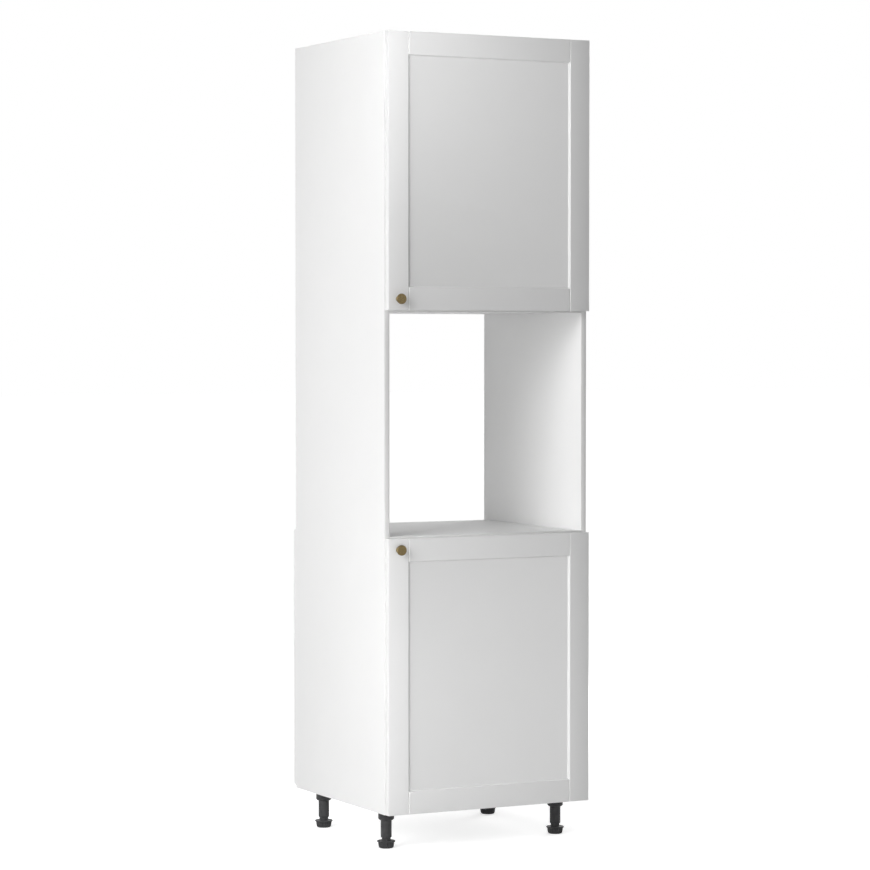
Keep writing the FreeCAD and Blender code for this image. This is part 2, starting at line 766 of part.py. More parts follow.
def shaker_door(door):
    """A routed one-piece door: a flat recessed panel and V grooves along the stiles."""
    low, high = DOOR_SPANS[door]
    slab = block((-DOOR_EDGE, DOOR_EDGE), (DOOR_FRONT, DOOR_REAR), (low, high))
    slab = slab.makeChamfer(DOOR_EDGE_CHAMFER, slab.Edges)
    mouth = rectangle(FRAME_WIDTH, low, high, DOOR_FRONT)
    floor = rectangle(FRAME_WIDTH + RECESS_SLOPE, low, high, DOOR_FRONT + PANEL_RECESS)
    cuts = [faceted([mouth, floor])]
    for side in (-1, 1):
        line = side * (DOOR_EDGE - FRAME_WIDTH)
        groove = outline(
            [
                Vector(line - GROOVE_HALF_WIDTH, DOOR_FRONT, low),
                Vector(line + GROOVE_HALF_WIDTH, DOOR_FRONT, low),
                Vector(line, DOOR_FRONT + GROOVE_DEPTH, low),
            ]
        )
        cuts.append(Part.Face(groove).extrude(UP * (high - low)))
    for height in hinge_heights(door):
        mouth_centre = Vector(CUP_X, DOOR_REAR, height)
        cuts.append(prism(CUP_SIDES, CUP_RADIUS, CUP_DEPTH, mouth_centre, FORWARD))
        cuts += cup_screws(height, SCREW_FIT)
    cuts.append(knob_screw_hole(door))
    return slab.cut(cuts)


def knob(door):
    """A turned disc knob on a short neck, screwed on from behind."""
    centre = Vector(-DOOR_EDGE + KNOB_INSET, DOOR_FRONT, KNOB_HEIGHTS[door])
    levels = [
        (KNOB_BASE_RADIUS, 0.0),
        (KNOB_NECK_RADIUS, KNOB_BASE),
        (KNOB_NECK_RADIUS, KNOB_OUT - KNOB_RIM - KNOB_UNDERCUT),
        (KNOB_RADIUS, KNOB_OUT - KNOB_RIM),
        (KNOB_RADIUS, KNOB_OUT),
    ]
    sections = [ring(KNOB_SIDES, radius, centre + FORWARD * out, FORWARD) for radius, out in levels]
    radius = KNOB_SCREW_RADIUS + HOLE_FIT
    bore = prism(SMALL_SIDES, radius, KNOB_SCREW_BITE + HOLE_FIT, centre, FORWARD)
    return faceted(sections).cut(bore)


def knob_screw(door):
    seat = Vector(-DOOR_EDGE + KNOB_INSET, DOOR_REAR, KNOB_HEIGHTS[door])
    head = prism(CAM_SIDES, KNOB_SCREW_HEAD_RADIUS, KNOB_SCREW_HEAD, seat, BACK)
    length = DOOR_THICKNESS + KNOB_SCREW_BITE
    shank = prism(SMALL_SIDES, KNOB_SCREW_RADIUS, length, seat, FORWARD)
    return fuse([head, shank])


def bumpers(door):
    low, high = DOOR_SPANS[door]
    dots = []
    for z in (low + BUMPER_END_INSET, high - BUMPER_END_INSET):
        centre = Vector(-OUTER + BOARD / 2, DOOR_REAR, z)
        thickness = DOOR_GAP - BUMPER_CLEARANCE
        dots.append(prism(CAM_SIDES, BUMPER_RADIUS, thickness, centre, BACK))
    return dots


plate_screw_group = []
arm_screw_group = []
for door_name in DOOR_SPANS:
    heights = hinge_heights(door_name)
    nodes[door_name + "_door"] = shaker_door(door_name)
    nodes[door_name + "_knob"] = knob(door_name)
    nodes[door_name + "_knob_screw"] = knob_screw(door_name)
    nodes[door_name + "_door_bumpers"] = Part.makeCompound(bumpers(door_name))
    nodes[door_name + "_hinge_cups"] = Part.makeCompound([hinge_cup(z) for z in heights])
    nodes[door_name + "_hinge_pins"] = Part.makeCompound([hinge_pin(z) for z in heights])
    nodes[door_name + "_hinge_arms"] = Part.makeCompound([hinge_arm(z) for z in heights])
    nodes[door_name + "_hinge_plates"] = Part.makeCompound([hinge_plate(z) for z in heights])
    cup_screw_group = []
    for z in heights:
        cup_screw_group += cup_screws(z)
        plate_screw_group += plate_screws(z)
        arm_screw_group.append(headed_arm_screw(z))
    nodes[door_name + "_cup_screws"] = Part.makeCompound(cup_screw_group)
nodes["hinge_plate_screws"] = Part.makeCompound(plate_screw_group)
nodes["hinge_arm_screws"] = Part.makeCompound(arm_screw_group)


# Legs


def leg_socket(x, y):
    """A screwed-on plate with a round collar and the spigot that the column plugs onto."""
    plate = block(
        (x - SOCKET_PLATE_HALF, x + SOCKET_PLATE_HALF),
        (y - SOCKET_PLATE_HALF, y + SOCKET_PLATE_HALF),
        (BODY_BOTTOM - SOCKET_PLATE, BODY_BOTTOM),
    )
    corner_edges = [edge for edge in plate.Edges if edge.Length < SOCKET_PLATE + 0.01]
    plate = plate.makeChamfer(SOCKET_PLATE_CORNER, corner_edges)
    levels = [
        (COLLAR_RADIUS, BODY_BOTTOM - SOCKET_PLATE),
        (COLLAR_RADIUS, COLUMN_TOP + COLLAR_BEVEL),
        (COLLAR_RADIUS - COLLAR_BEVEL, COLUMN_TOP),
    ]
    collar = faceted([ring(LEG_SIDES, radius, Vector(x, y, z), UP) for radius, z in levels])
    spigot_radius = SPINDLE_RADIUS + SPINDLE_FIT - SPIGOT_FIT
    spigot = prism(
        SPINDLE_SIDES, spigot_radius, SPIGOT_LENGTH, Vector(x, y, COLUMN_TOP), DOWN
    )
    return fuse([plate, collar, spigot]).cut(leg_screws(x, y, SCREW_FIT))


def leg_column(x, y):
    """A tube that carries the spindle of the foot."""
    top = Vector(x, y, COLUMN_TOP)
    bore = prism(SPINDLE_SIDES, SPINDLE_RADIUS + SPINDLE_FIT, COLUMN_LENGTH, top, DOWN)
    return prism(LEG_SIDES, COLUMN_RADIUS, COLUMN_LENGTH, top, DOWN).cut(bore)


def ribbed_ring(x, y, z, radius):
    """The corners of pointed ribs around the foot."""
    points = []
    for number in range(2 * FOOT_RIBS):
        angle = math.pi * number / FOOT_RIBS
        reach = radius * (1 - FOOT_RIB_SHARE * (number % 2))
        points.append(Vector(x + reach * math.cos(angle), y + reach * math.sin(angle), z))
    return points


def leg_foot(x, y):
    """A moulded foot: a ribbed grip under a flange, and the spindle above it."""
    grip_top = FOOT_HEIGHT - FOOT_FLANGE
    grip = [
        ribbed_ring(x, y, 0, FOOT_TREAD_RADIUS),
        ribbed_ring(x, y, FOOT_TREAD_BEVEL, FOOT_BASE_RADIUS),
        ribbed_ring(x, y, grip_top, FOOT_GRIP_RADIUS),
    ]
    flange_start = Vector(x, y, grip_top)
    flange = prism(LEG_SIDES, FOOT_FLANGE_RADIUS, FOOT_FLANGE, flange_start, UP)
    spindle_start = Vector(x, y, FOOT_HEIGHT)
    spindle = prism(SPINDLE_SIDES, SPINDLE_RADIUS, SPINDLE_LENGTH, spindle_start, UP)
    return fuse([faceted(grip), flange, spindle])


sockets = []
columns = []
socket_screws = []
for place, (leg_x, leg_y) in leg_places().items():
    sockets.append(leg_socket(leg_x, leg_y))
    columns.append(leg_column(leg_x, leg_y))
    socket_screws += leg_screws(leg_x, leg_y)
    nodes["leg_foot_" + place] = leg_foot(leg_x, leg_y)
nodes["leg_sockets"] = Part.makeCompound(sockets)
nodes["leg_columns"] = Part.makeCompound(columns)
nodes["leg_socket_screws"] = Part.makeCompound(socket_screws)

os.makedirs("parts", exist_ok=True)
for node, shape in nodes.items():
    assert shape.isValid(), node
    shape.exportStep("parts/" + node + ".step")
    print(node, len(shape.Solids), round(shape.Volume, 1))
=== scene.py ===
import math

import bmesh
import bpy
from mathutils import Matrix, Vector


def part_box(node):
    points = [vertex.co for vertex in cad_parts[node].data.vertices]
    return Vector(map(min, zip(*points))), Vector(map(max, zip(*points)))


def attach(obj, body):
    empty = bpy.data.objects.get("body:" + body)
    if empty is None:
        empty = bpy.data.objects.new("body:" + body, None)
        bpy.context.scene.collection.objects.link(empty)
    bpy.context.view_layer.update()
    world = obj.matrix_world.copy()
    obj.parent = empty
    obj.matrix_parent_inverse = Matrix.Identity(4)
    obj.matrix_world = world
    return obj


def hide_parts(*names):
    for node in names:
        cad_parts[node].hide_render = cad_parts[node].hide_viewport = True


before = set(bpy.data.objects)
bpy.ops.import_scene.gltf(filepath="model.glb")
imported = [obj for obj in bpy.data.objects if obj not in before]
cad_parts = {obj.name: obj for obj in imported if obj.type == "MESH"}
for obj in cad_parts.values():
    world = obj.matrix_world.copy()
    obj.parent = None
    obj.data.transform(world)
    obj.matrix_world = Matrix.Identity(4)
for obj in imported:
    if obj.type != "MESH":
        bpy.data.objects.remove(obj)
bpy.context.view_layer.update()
scene = bpy.context.scene


# Camera: it stands in front of the unit and to its left, a little under eye height.
# The lens is long, so the upright edges stay almost parallel.
camera_data = bpy.data.cameras.new("camera")
camera = bpy.data.objects.new("camera", camera_data)
scene.collection.objects.link(camera)
scene.camera = camera
CAMERA_PLACE = (-3.7621, -7.217, 1.329)
CAMERA_TURN = math.radians(-27.418)
CAMERA_TILT = math.radians(90 - 1.812)
camera_data.lens = 125.0
camera_data.sensor_width = 36.0
camera_data.clip_end = 200.0
camera.location = CAMERA_PLACE
camera.rotation_euler = (CAMERA_TILT, 0.0, CAMERA_TURN)
scene.view_settings.view_transform = "Standard"


# Studio: a plain white floor that runs into a white background. A large soft lamp stands
# on the left and two small ones point at the doors' left edges. Soft lamps also stand
# behind, on the right and overhead, and a wide, low sun fills the front.
def shader(name):
    """A new material with its node tree, its links and its Principled shader."""
    material = bpy.data.materials.new(name)
    material.use_nodes = True
    tree = material.node_tree
    return material, tree, tree.nodes["Principled BSDF"]


def seen_directly(tree):
    """A factor that is 1 for camera, glossy and transmission rays."""
    rays = tree.nodes.new("ShaderNodeLightPath")
    factor = rays.outputs["Is Camera Ray"]
    for other in ("Is Glossy Ray", "Is Transmission Ray"):
        either = tree.nodes.new("ShaderNodeMath")
        either.operation = "MAXIMUM"
        tree.links.new(factor, either.inputs[0])
        tree.links.new(rays.outputs[other], either.inputs[1])
        factor = either.outputs[0]
    return factor


FLOOR_REACH = 60.0
FLOOR_BOUNCE = (0.80, 0.80, 0.80, 1)
FLOOR_WHITE = (0.90, 0.90, 0.90, 1)
NEAR_GLOW, NEAR_EDGE = 0.60, 1.2
FAR_GLOW, FAR_EDGE = 0.78, 5.0
WHITE = (1, 1, 1, 1)
AMBIENT_LIGHT = 0.14
BACKDROP_LIGHT = 1.0
bpy.ops.object.select_all(action="DESELECT")
bpy.ops.mesh.primitive_plane_add(size=2 * FLOOR_REACH)
floor = bpy.context.object
floor.name = "studio_floor"
floor_paint, tree, principled = shader("studio_floor")
tree.nodes.remove(principled)
bounce = tree.nodes.new("ShaderNodeBsdfDiffuse")
bounce.inputs["Color"].default_value = FLOOR_BOUNCE
pale = tree.nodes.new("ShaderNodeBsdfDiffuse")
pale.inputs["Color"].default_value = FLOOR_WHITE
glow = tree.nodes.new("ShaderNodeEmission")
spot = tree.nodes.new("ShaderNodeTexCoord")
distance = tree.nodes.new("ShaderNodeVectorMath")
distance.operation = "LENGTH"
tree.links.new(spot.outputs["Object"], distance.inputs[0])
fade = tree.nodes.new("ShaderNodeMapRange")
for name, value in (
    ("From Min", NEAR_EDGE),
    ("From Max", FAR_EDGE),
    ("To Min", NEAR_GLOW),
    ("To Max", FAR_GLOW),
):
    fade.inputs[name].default_value = value
tree.links.new(distance.outputs["Value"], fade.inputs["Value"])
tree.links.new(fade.outputs["Result"], glow.inputs["Strength"])
seen = tree.nodes.new("ShaderNodeAddShader")
tree.links.new(pale.outputs[0], seen.inputs[0])
tree.links.new(glow.outputs[0], seen.inputs[1])
choice = tree.nodes.new("ShaderNodeMixShader")
tree.links.new(seen_directly(tree), choice.inputs["Fac"])
tree.links.new(bounce.outputs[0], choice.inputs[1])
tree.links.new(seen.outputs[0], choice.inputs[2])
tree.links.new(choice.outputs[0], tree.nodes["Material Output"].inputs["Surface"])
floor.data.materials.append(floor_paint)

world = bpy.data.worlds.new("studio_light")
scene.world = world
world.use_nodes = True
tree = world.node_tree
surround = tree.nodes["Background"]
surround.inputs["Color"].default_value = WHITE
surround.inputs["Strength"].default_value = AMBIENT_LIGHT
backdrop = tree.nodes.new("ShaderNodeBackground")
backdrop.inputs["Color"].default_value = WHITE
backdrop.inputs["Strength"].default_value = BACKDROP_LIGHT
choice = tree.nodes.new("ShaderNodeMixShader")
tree.links.new(seen_directly(tree), choice.inputs["Fac"])
tree.links.new(surround.outputs[0], choice.inputs[1])
tree.links.new(backdrop.outputs[0], choice.inputs[2])
tree.links.new(choice.outputs[0], tree.nodes["World Output"].inputs["Surface"])


def lamp(name, place, aim, size, power, spread=180):
    """A soft rectangular lamp in watts, aimed at a point, that the camera doesn't see."""
    data = bpy.data.lights.new(name, "AREA")
    data.shape = "RECTANGLE"
    data.size, data.size_y = size
    data.energy = power
    data.spread = math.radians(spread)
    piece = bpy.data.objects.new(name, data)
    scene.collection.objects.link(piece)
    piece.location = place
    piece.rotation_euler = (Vector(aim) - Vector(place)).to_track_quat("-Z", "Y").to_euler()
    piece.visible_camera = False


lamp("key_lamp", (-2.85, -1.4, 1.6), (0, 0, 1.1), (2.0, 2.4), 51)
lamp("door_lamp", (-0.9, -2.4, 2.7), (-0.42, -0.28, 2.15), (0.5, 0.5), 1.15, 36)
lamp("low_lamp", (-1.1, -2.4, 0.5), (-0.42, -0.28, 0.42), (0.5, 0.5), 1.05, 44)
lamp("rear_lamp", (-0.8, 3.9, 1.5), (0, 0, 1.1), (2.4, 2.4), 15)
lamp("right_lamp", (3.2, 2.0, 1.6), (0, 0, 1.1), (2.0, 2.4), 66)
lamp("top_lamp", (0.4, 1.4, 4.8), (0, 0, 2.0), (2.0, 2.0), 14)
SKY_POWER = 1.0
SKY_WIDTH = math.radians(30)
SKY_DIRECTION = Vector((0.95, 0.5, -0.5))
sun = bpy.data.lights.new("sky_lamp", "SUN")
sun.energy = SKY_POWER
sun.angle = SKY_WIDTH
sky_lamp = bpy.data.objects.new("sky_lamp", sun)
scene.collection.objects.link(sky_lamp)
sky_lamp.rotation_euler = SKY_DIRECTION.to_track_quat("-Z", "Y").to_euler()


# Side panels: melamine-faced chipboard, 15 mm thick, with a thin plastic band ironed
# on the front, top and bottom edges. The rear edge is bare chipboard.
BAND_THICKNESS = 0.0008
BAND_RADIUS = 0.0006
BOARD_EASE = 0.0003
SAME_PLACE = 1e-5


def texture(tree, kind, scale, **settings):
    """A texture node on the piece's own coordinates, at a scale per metre."""
    place = tree.nodes.get("place") or tree.nodes.new("ShaderNodeTexCoord")
    place.name = "place"
    node = tree.nodes.new(kind)
    node.inputs["Scale"].default_value = scale
    for name, value in settings.items():
        node.inputs[name].default_value = value
    tree.links.new(place.outputs["Object"], node.inputs["Vector"])
    return node


def ramp(tree, source, low, high, start=0.3, end=0.7):
    """A colour ramp between two grey values or colours, driven by a texture."""
    node = tree.nodes.new("ShaderNodeValToRGB")
    for element, position, value in zip(node.color_ramp.elements, (start, end), (low, high)):
        colour = value if isinstance(value, tuple) else (value, value, value)
        element.position = position
        element.color = (*colour, 1)
    tree.links.new(source, node.inputs["Fac"])
    return node.outputs["Color"]


def bump(tree, principled, height, distance, strength=1.0):
    """Raises the surface by a texture, with its full height in metres."""
    node = tree.nodes.new("ShaderNodeBump")
    node.inputs["Distance"].default_value = distance
    node.inputs["Strength"].default_value = strength
    tree.links.new(height, node.inputs["Height"])
    tree.links.new(node.outputs["Normal"], principled.inputs["Normal"])


def white_finish(name, tone, roughness, grain, depth):
    """A white surface with a fine pearl, faint clouding and uneven gloss."""
    material, tree, principled = shader(name)
    clouding = texture(tree, "ShaderNodeTexNoise", 7.0, Detail=3.0)
    colour = ramp(tree, clouding.outputs["Fac"], tuple(c * 0.988 for c in tone), tone)
    tree.links.new(colour, principled.inputs["Base Color"])
    gloss = texture(tree, "ShaderNodeTexNoise", 40.0, Detail=4.0)
    rough = ramp(tree, gloss.outputs["Fac"], roughness - 0.03, roughness + 0.04)
    tree.links.new(rough, principled.inputs["Roughness"])
    principled.inputs["Specular IOR Level"].default_value = 0.3
    pearl = texture(tree, "ShaderNodeTexNoise", grain, Detail=2.0)
    bump(tree, principled, pearl.outputs["Fac"], depth)
    return material


melamine = white_finish("melamine", (0.86, 0.86, 0.858), 0.52, 900.0, 0.00003)
edge_band = white_finish("edge_band", (0.85, 0.85, 0.845), 0.34, 300.0, 0.00001)

chipboard, tree, principled = shader("chipboard_core")
flakes = texture(tree, "ShaderNodeTexVoronoi", 620.0)
tint = ramp(tree, flakes.outputs["Distance"], (0.24, 0.15, 0.075), (0.55, 0.40, 0.24), 0.0, 0.8)
tree.links.new(tint, principled.inputs["Base Color"])
rough = ramp(tree, flakes.outputs["Distance"], 0.84, 0.94, 0.0, 0.8)
tree.links.new(rough, principled.inputs["Roughness"])
bump(tree, principled, flakes.outputs["Distance"], 0.0004, 0.6)


def choose(kind, test):
    """Selects the parts of the piece in edit mode whose middle passes the test."""
    bpy.ops.mesh.select_mode(type=kind)
    bpy.ops.mesh.select_all(action="DESELECT")
    mesh = bmesh.from_edit_mesh(bpy.context.edit_object.data)
    parts = {"VERT": mesh.verts, "EDGE": mesh.edges, "FACE": mesh.faces}[kind]
    for part in parts:
        corners = [part] if kind == "VERT" else part.verts
        middle = sum((corner.co for corner in corners), Vector()) / len(corners)
        if test(part, middle):
            part.select_set(True)
    mesh.select_flush_mode()
    bmesh.update_edit_mesh(bpy.context.edit_object.data)


def start_box(name, low, high):
    """A box between two corners, ready in edit mode."""
    bpy.ops.object.select_all(action="DESELECT")
    low, high = Vector(low), Vector(high)
    bpy.ops.mesh.primitive_cube_add(size=1, location=(low + high) / 2, scale=high - low)
    piece = bpy.context.object
    piece.name = name
    bpy.ops.object.transform_apply(location=True, rotation=True, scale=True)
    bpy.ops.object.mode_set(mode="EDIT")
    return piece


def leave_edit():
    """Turns every face of the piece in edit mode outwards, and closes edit mode."""
    bpy.ops.mesh.select_all(action="SELECT")
    bpy.ops.mesh.normals_make_consistent(inside=False)
    bpy.ops.object.mode_set(mode="OBJECT")


def pick(*pieces):
    """Selects these pieces alone, with the first one active."""
    bpy.ops.object.select_all(action="DESELECT")
    for piece in pieces:
        piece.select_set(True)
    bpy.context.view_layer.objects.active = pieces[0]


def join(pieces):
    """Joins the pieces into the first one."""
    pick(*pieces)
    if len(pieces) > 1:
        bpy.ops.object.join()
    return pieces[0]


def cut_out(piece, cutters, lining=0):
    """Cuts the cutters out of a piece, and lines the hollows with one of its materials."""
    cutter = join(cutters)
    for face in cutter.data.polygons:
        face.material_index = lining
    hollow = piece.modifiers.new("hollow", "BOOLEAN")
    hollow.operation = "DIFFERENCE"
    hollow.solver = "EXACT"
    hollow.object = cutter
    pick(piece)
    bpy.ops.object.modifier_apply(modifier=hollow.name)
    bpy.data.objects.remove(cutter)


def finish_piece(piece, slot, body, *materials, replaces=(), angle=35, bores=(), lining=0):
    """Closes edit mode, bores the piece, and hands it to its body."""
    if bpy.context.mode == "EDIT_MESH":
        leave_edit()
    for material in materials:
        piece.data.materials.append(material)
    if bores:
        cut_out(piece, bores, lining)
    pick(piece)
    bpy.ops.object.shade_smooth_by_angle(angle=math.radians(angle))
    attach(piece, body)
    if replaces:
        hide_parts(*replaces)
    return piece


def give_faces(piece, place, test):
    """Gives the faces whose middle passes the test the material in that place."""
    for face in bmesh.from_edit_mesh(piece.data).faces:
        if test(face.calc_center_median()):
            face.material_index = place


def board(name, node, banded, bare, bores=()):
    """A faced board that takes a node's place, with banded and with bare edges."""
    low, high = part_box(node)
    piece = start_box(name, low, high)
    cuts = []
    for axis, sign in banded:
        normal = Vector((0, 0, 0))
        normal[axis] = 1
        place = Vector(low if sign < 0 else high)
        place[axis] -= sign * BAND_THICKNESS
        bpy.ops.mesh.select_all(action="SELECT")
        bpy.ops.mesh.bisect(plane_co=place, plane_no=normal)
        cuts.append((axis, sign, place[axis]))
    for axis, sign, level in cuts:
        give_faces(piece, 1, lambda middle: (middle[axis] - level) * sign > 0)
    if bare:
        axis, sign = bare
        end = high[axis] if sign > 0 else low[axis]
        give_faces(piece, 2, lambda middle: abs(middle[axis] - end) < SAME_PLACE)

    def on_corner(edge, middle):
        outer = 0
        for axis in range(3):
            if min(middle[axis] - low[axis], high[axis] - middle[axis]) < SAME_PLACE:
                outer += 1
        return outer >= 2

    choose("EDGE", on_corner)
    bpy.ops.mesh.bevel(offset=BAND_RADIUS if banded else BOARD_EASE, segments=2, affect="EDGES")
    faces = (melamine, edge_band, chipboard)
    return finish_piece(
        piece, "white_board", "carcass", *faces, replaces=(node,), bores=bores, lining=2
    )


FRONT_EDGE, REAR_EDGE = (1, -1), (1, 1)
BOTTOM_EDGE, TOP_EDGE = (2, -1), (2, 1)
for side in ("left", "right"):
    banded = (FRONT_EDGE, BOTTOM_EDGE, TOP_EDGE)
    board(side + "_side", side + "_side_panel", banded, REAR_EDGE)


# Cross boards: bottom, niche floor, niche top and top, of the same board as the sides.
# Only their front edges are banded. Round pockets for the cams are bored near their ends,
# in the face that doesn't show.
POCKET_RADIUS = 7.6
POCKET_DEPTH = 11.6
CAM_FROM_END = 0.034
CAM_FROM_EDGE = 0.040
POCKETS_ON_TOP = ("niche_top_panel", "top_panel")
CUTTER_LIFT = 0.6
BORE_STEPS = 32
UP, DOWN = Vector((0, 0, 1)), Vector((0, 0, -1))


def turn(name, rows, steps, foot=(0, 0, 0), axis=UP):
    """Turns a piece from rows of radius and height in millimetres, along an axis."""
    bpy.ops.object.select_all(action="DESELECT")
    radius, height = rows[0]
    bpy.ops.mesh.primitive_circle_add(
        vertices=steps, radius=radius / 1000, fill_type="NGON", location=(0, 0, height / 1000)
    )
    piece = bpy.context.object
    piece.name = name
    bpy.ops.object.transform_apply(location=True, rotation=True, scale=True)
    bpy.ops.object.mode_set(mode="EDIT")
    bpy.ops.mesh.select_all(action="SELECT")
    for next_radius, next_height in rows[1:]:
        rise = (next_height - height) / 1000
        bpy.ops.mesh.extrude_region_move(TRANSFORM_OT_translate={"value": (0, 0, rise)})
        share = next_radius / radius
        bpy.ops.transform.resize(value=(share, share, 1), center_override=(0, 0, 0))
        radius, height = next_radius, next_height
    leave_edit()
    piece.data.transform(facing(foot, axis))
    return piece


def facing(place, axis):
    """Moves a piece from the origin to a place and turns its Z axis along another."""
    turned = Vector(axis).to_track_quat("Z", "Y").to_matrix().to_4x4()
    return Matrix.Translation(Vector(place)) @ turned


def bore(radius, depth, mouth, into):
    """A cutter for a round hole, in millimetres from its mouth."""
    rows = ((radius, -CUTTER_LIFT), (radius, depth))
    return turn("cutter", rows, BORE_STEPS, mouth, into)


def cam_places(node):
    """The middle of each cam's face in a cross board, and the way the cam is pressed in."""
    low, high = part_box(node)
    on_top = node in POCKETS_ON_TOP
    level = high.z if on_top else low.z
    places = []
    for x in (low.x + CAM_FROM_END, high.x - CAM_FROM_END):
        for y in (low.y + CAM_FROM_EDGE, high.y - CAM_FROM_EDGE):
            places.append((Vector((x, y, level)), DOWN if on_top else UP))
    return places


CROSS_BOARDS = ("bottom_panel", "niche_floor_panel", "niche_top_panel", "top_panel")
for name in CROSS_BOARDS:
    pockets = [bore(POCKET_RADIUS, POCKET_DEPTH, *place) for place in cam_places(name)]
    board(name.replace("_panel", "_board"), name, (FRONT_EDGE,), REAR_EDGE, pockets)


# Cams: die-cast zinc drums, one in each pocket. A cross slot in the face turns the cam,
# which draws in the steel bolt that stands in the side panel.
CAM_ROWS = (
    (5.8, 0.5),
    (6.1, 0.1),
    (6.5, 0.0),
    (7.3, 0.0),
    (7.5, 0.25),
    (7.5, 11.2),
    (7.2, 11.5),
)
CAM_STEPS = 40
CAM_SLOT_REACH = 0.0046
CAM_SLOT_HALF = 0.0009
CAM_SLOT_DEPTH = 0.0036
SLOT_LIFT = 0.0005
SLOT_TAPER = 0.75
BOLT_CHANNEL = 0.0036
CHANNEL_REACH = 0.02
BOARD_MIDDLE = 0.0075


def metal(name, dark, light, smooth, rough, grain, depth, blotch=180.0):
    """A bare or plated metal with uneven tone and gloss and a fine surface grain."""
    material, tree, principled = shader(name)
    tone = texture(tree, "ShaderNodeTexNoise", blotch, Detail=4.0)
    tree.links.new(ramp(tree, tone.outputs["Fac"], dark, light), principled.inputs["Base Color"])
    gloss = texture(tree, "ShaderNodeTexNoise", blotch * 3.0, Detail=3.0)
    tree.links.new(ramp(tree, gloss.outputs["Fac"], smooth, rough), principled.inputs["Roughness"])
    principled.inputs["Metallic"].default_value = 1.0
    surface = texture(tree, "ShaderNodeTexNoise", grain, Detail=2.0)
    bump(tree, principled, surface.outputs["Fac"], depth)
    return material


zinc_casting = metal(
    "zinc_casting", (0.40, 0.40, 0.39), (0.56, 0.56, 0.55), 0.38, 0.52, 1600.0, 0.00005
)


def copies(master, name, places):
    """Sets a copy of a piece at each place and joins the copies; the first one goes."""
    made = []
    for place in places:
        mesh = master.data.copy()
        mesh.transform(place)
        twin = bpy.data.objects.new(name, mesh)
        scene.collection.objects.link(twin)
        made.append(twin)
    bpy.data.objects.remove(master)
    piece = join(made)
    piece.name = name
    return piece


def cross_slot(piece, length, width, top, depth):
    """Sinks a cross slot, narrower at its bottom, into a face that looks down Z."""
    for x, y in ((length, width), (width, length)):
        slot = start_box("cutter", (-x, -y, top - SLOT_LIFT), (x, y, depth))
        choose("VERT", lambda vertex, middle: middle.z > depth - SAME_PLACE)
        bpy.ops.transform.resize(value=(SLOT_TAPER, SLOT_TAPER, 1), center_override=(0, 0, 0))
        bpy.ops.object.mode_set(mode="OBJECT")
        cut_out(piece, [slot])


cam = turn("cam", CAM_ROWS, CAM_STEPS)
cross_slot(cam, CAM_SLOT_REACH, CAM_SLOT_HALF, 0.0, CAM_SLOT_DEPTH)
channel = start_box(
    "cutter",
    (-BOLT_CHANNEL, -BOLT_CHANNEL, BOARD_MIDDLE - BOLT_CHANNEL),
    (CHANNEL_REACH, BOLT_CHANNEL, BOARD_MIDDLE + BOLT_CHANNEL),
)
bpy.ops.object.mode_set(mode="OBJECT")
cut_out(cam, [channel])
turned_cams = []
for name in CROSS_BOARDS:
    for place, into in cam_places(name):
        towards_side = Matrix.Rotation(0 if place.x > 0 else math.pi, 4, "Z")
        pressed_in = Matrix.Rotation(0 if into is UP else math.pi, 4, "X")
        turned_cams.append(Matrix.Translation(place) @ towards_side @ pressed_in)
cams = copies(cam, "cams", turned_cams)
finish_piece(cams, "zinc_casting", "carcass", zinc_casting, replaces=("cam_locks",))


# Bolts and dowels: the steel bolts that the cams draw in, and fluted beech dowels. Both
# stay inside the boards.
plated_steel = metal(
    "plated_steel", (0.52, 0.52, 0.51), (0.70, 0.70, 0.68), 0.26, 0.40, 2400.0, 0.00002
)
beech, tree, principled = shader("beech")
grain = texture(tree, "ShaderNodeTexWave", 160.0, Distortion=2.5, Detail=3.0)
tint = ramp(tree, grain.outputs["Fac"], (0.50, 0.31, 0.17), (0.66, 0.45, 0.27), 0.0, 1.0)
tree.links.new(tint, principled.inputs["Base Color"])
rough = ramp(tree, grain.outputs["Fac"], 0.62, 0.74)
tree.links.new(rough, principled.inputs["Roughness"])
bump(tree, principled, grain.outputs["Fac"], 0.0001)


def dress(node, material):
    """Gives a CAD node that stays as it is its material."""
    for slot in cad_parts[node].material_slots:
        slot.material = material


dress("cam_bolts", plated_steel)
dress("dowels", beech)


# Wall rail: a strip of the same board behind the upper back. Two screws through it hold
# the unit to the wall.
WALL_HOLE_RADIUS = 3.5
WALL_HOLE_DEPTH = 16.0
WALL_HOLE_SIDE = 0.200
BACKWARD, FORWARD = Vector((0, 1, 0)), Vector((0, -1, 0))
rail_low, rail_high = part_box("wall_fixing_rail")
wall_holes = []
for side in (-1, 1):
    mouth = Vector((side * WALL_HOLE_SIDE, rail_high.y, (rail_low.z + rail_high.z) / 2))
    wall_holes.append(mouth)
board(
    "wall_rail",
    "wall_fixing_rail",
    (BOTTOM_EDGE,),
    None,
    [bore(WALL_HOLE_RADIUS, WALL_HOLE_DEPTH, mouth, FORWARD) for mouth in wall_holes],
)


# Upper back: 3 mm hardboard slid into grooves, lacquered white on the side that faces
# the shelves and left brown behind. Two holes let the wall screws through.
ACCESS_RADIUS = 6.0
THROUGH = 20.0
HARDBOARD_EASE = 0.0002
white_hardboard = white_finish("white_hardboard", (0.83, 0.83, 0.82), 0.50, 700.0, 0.00005)

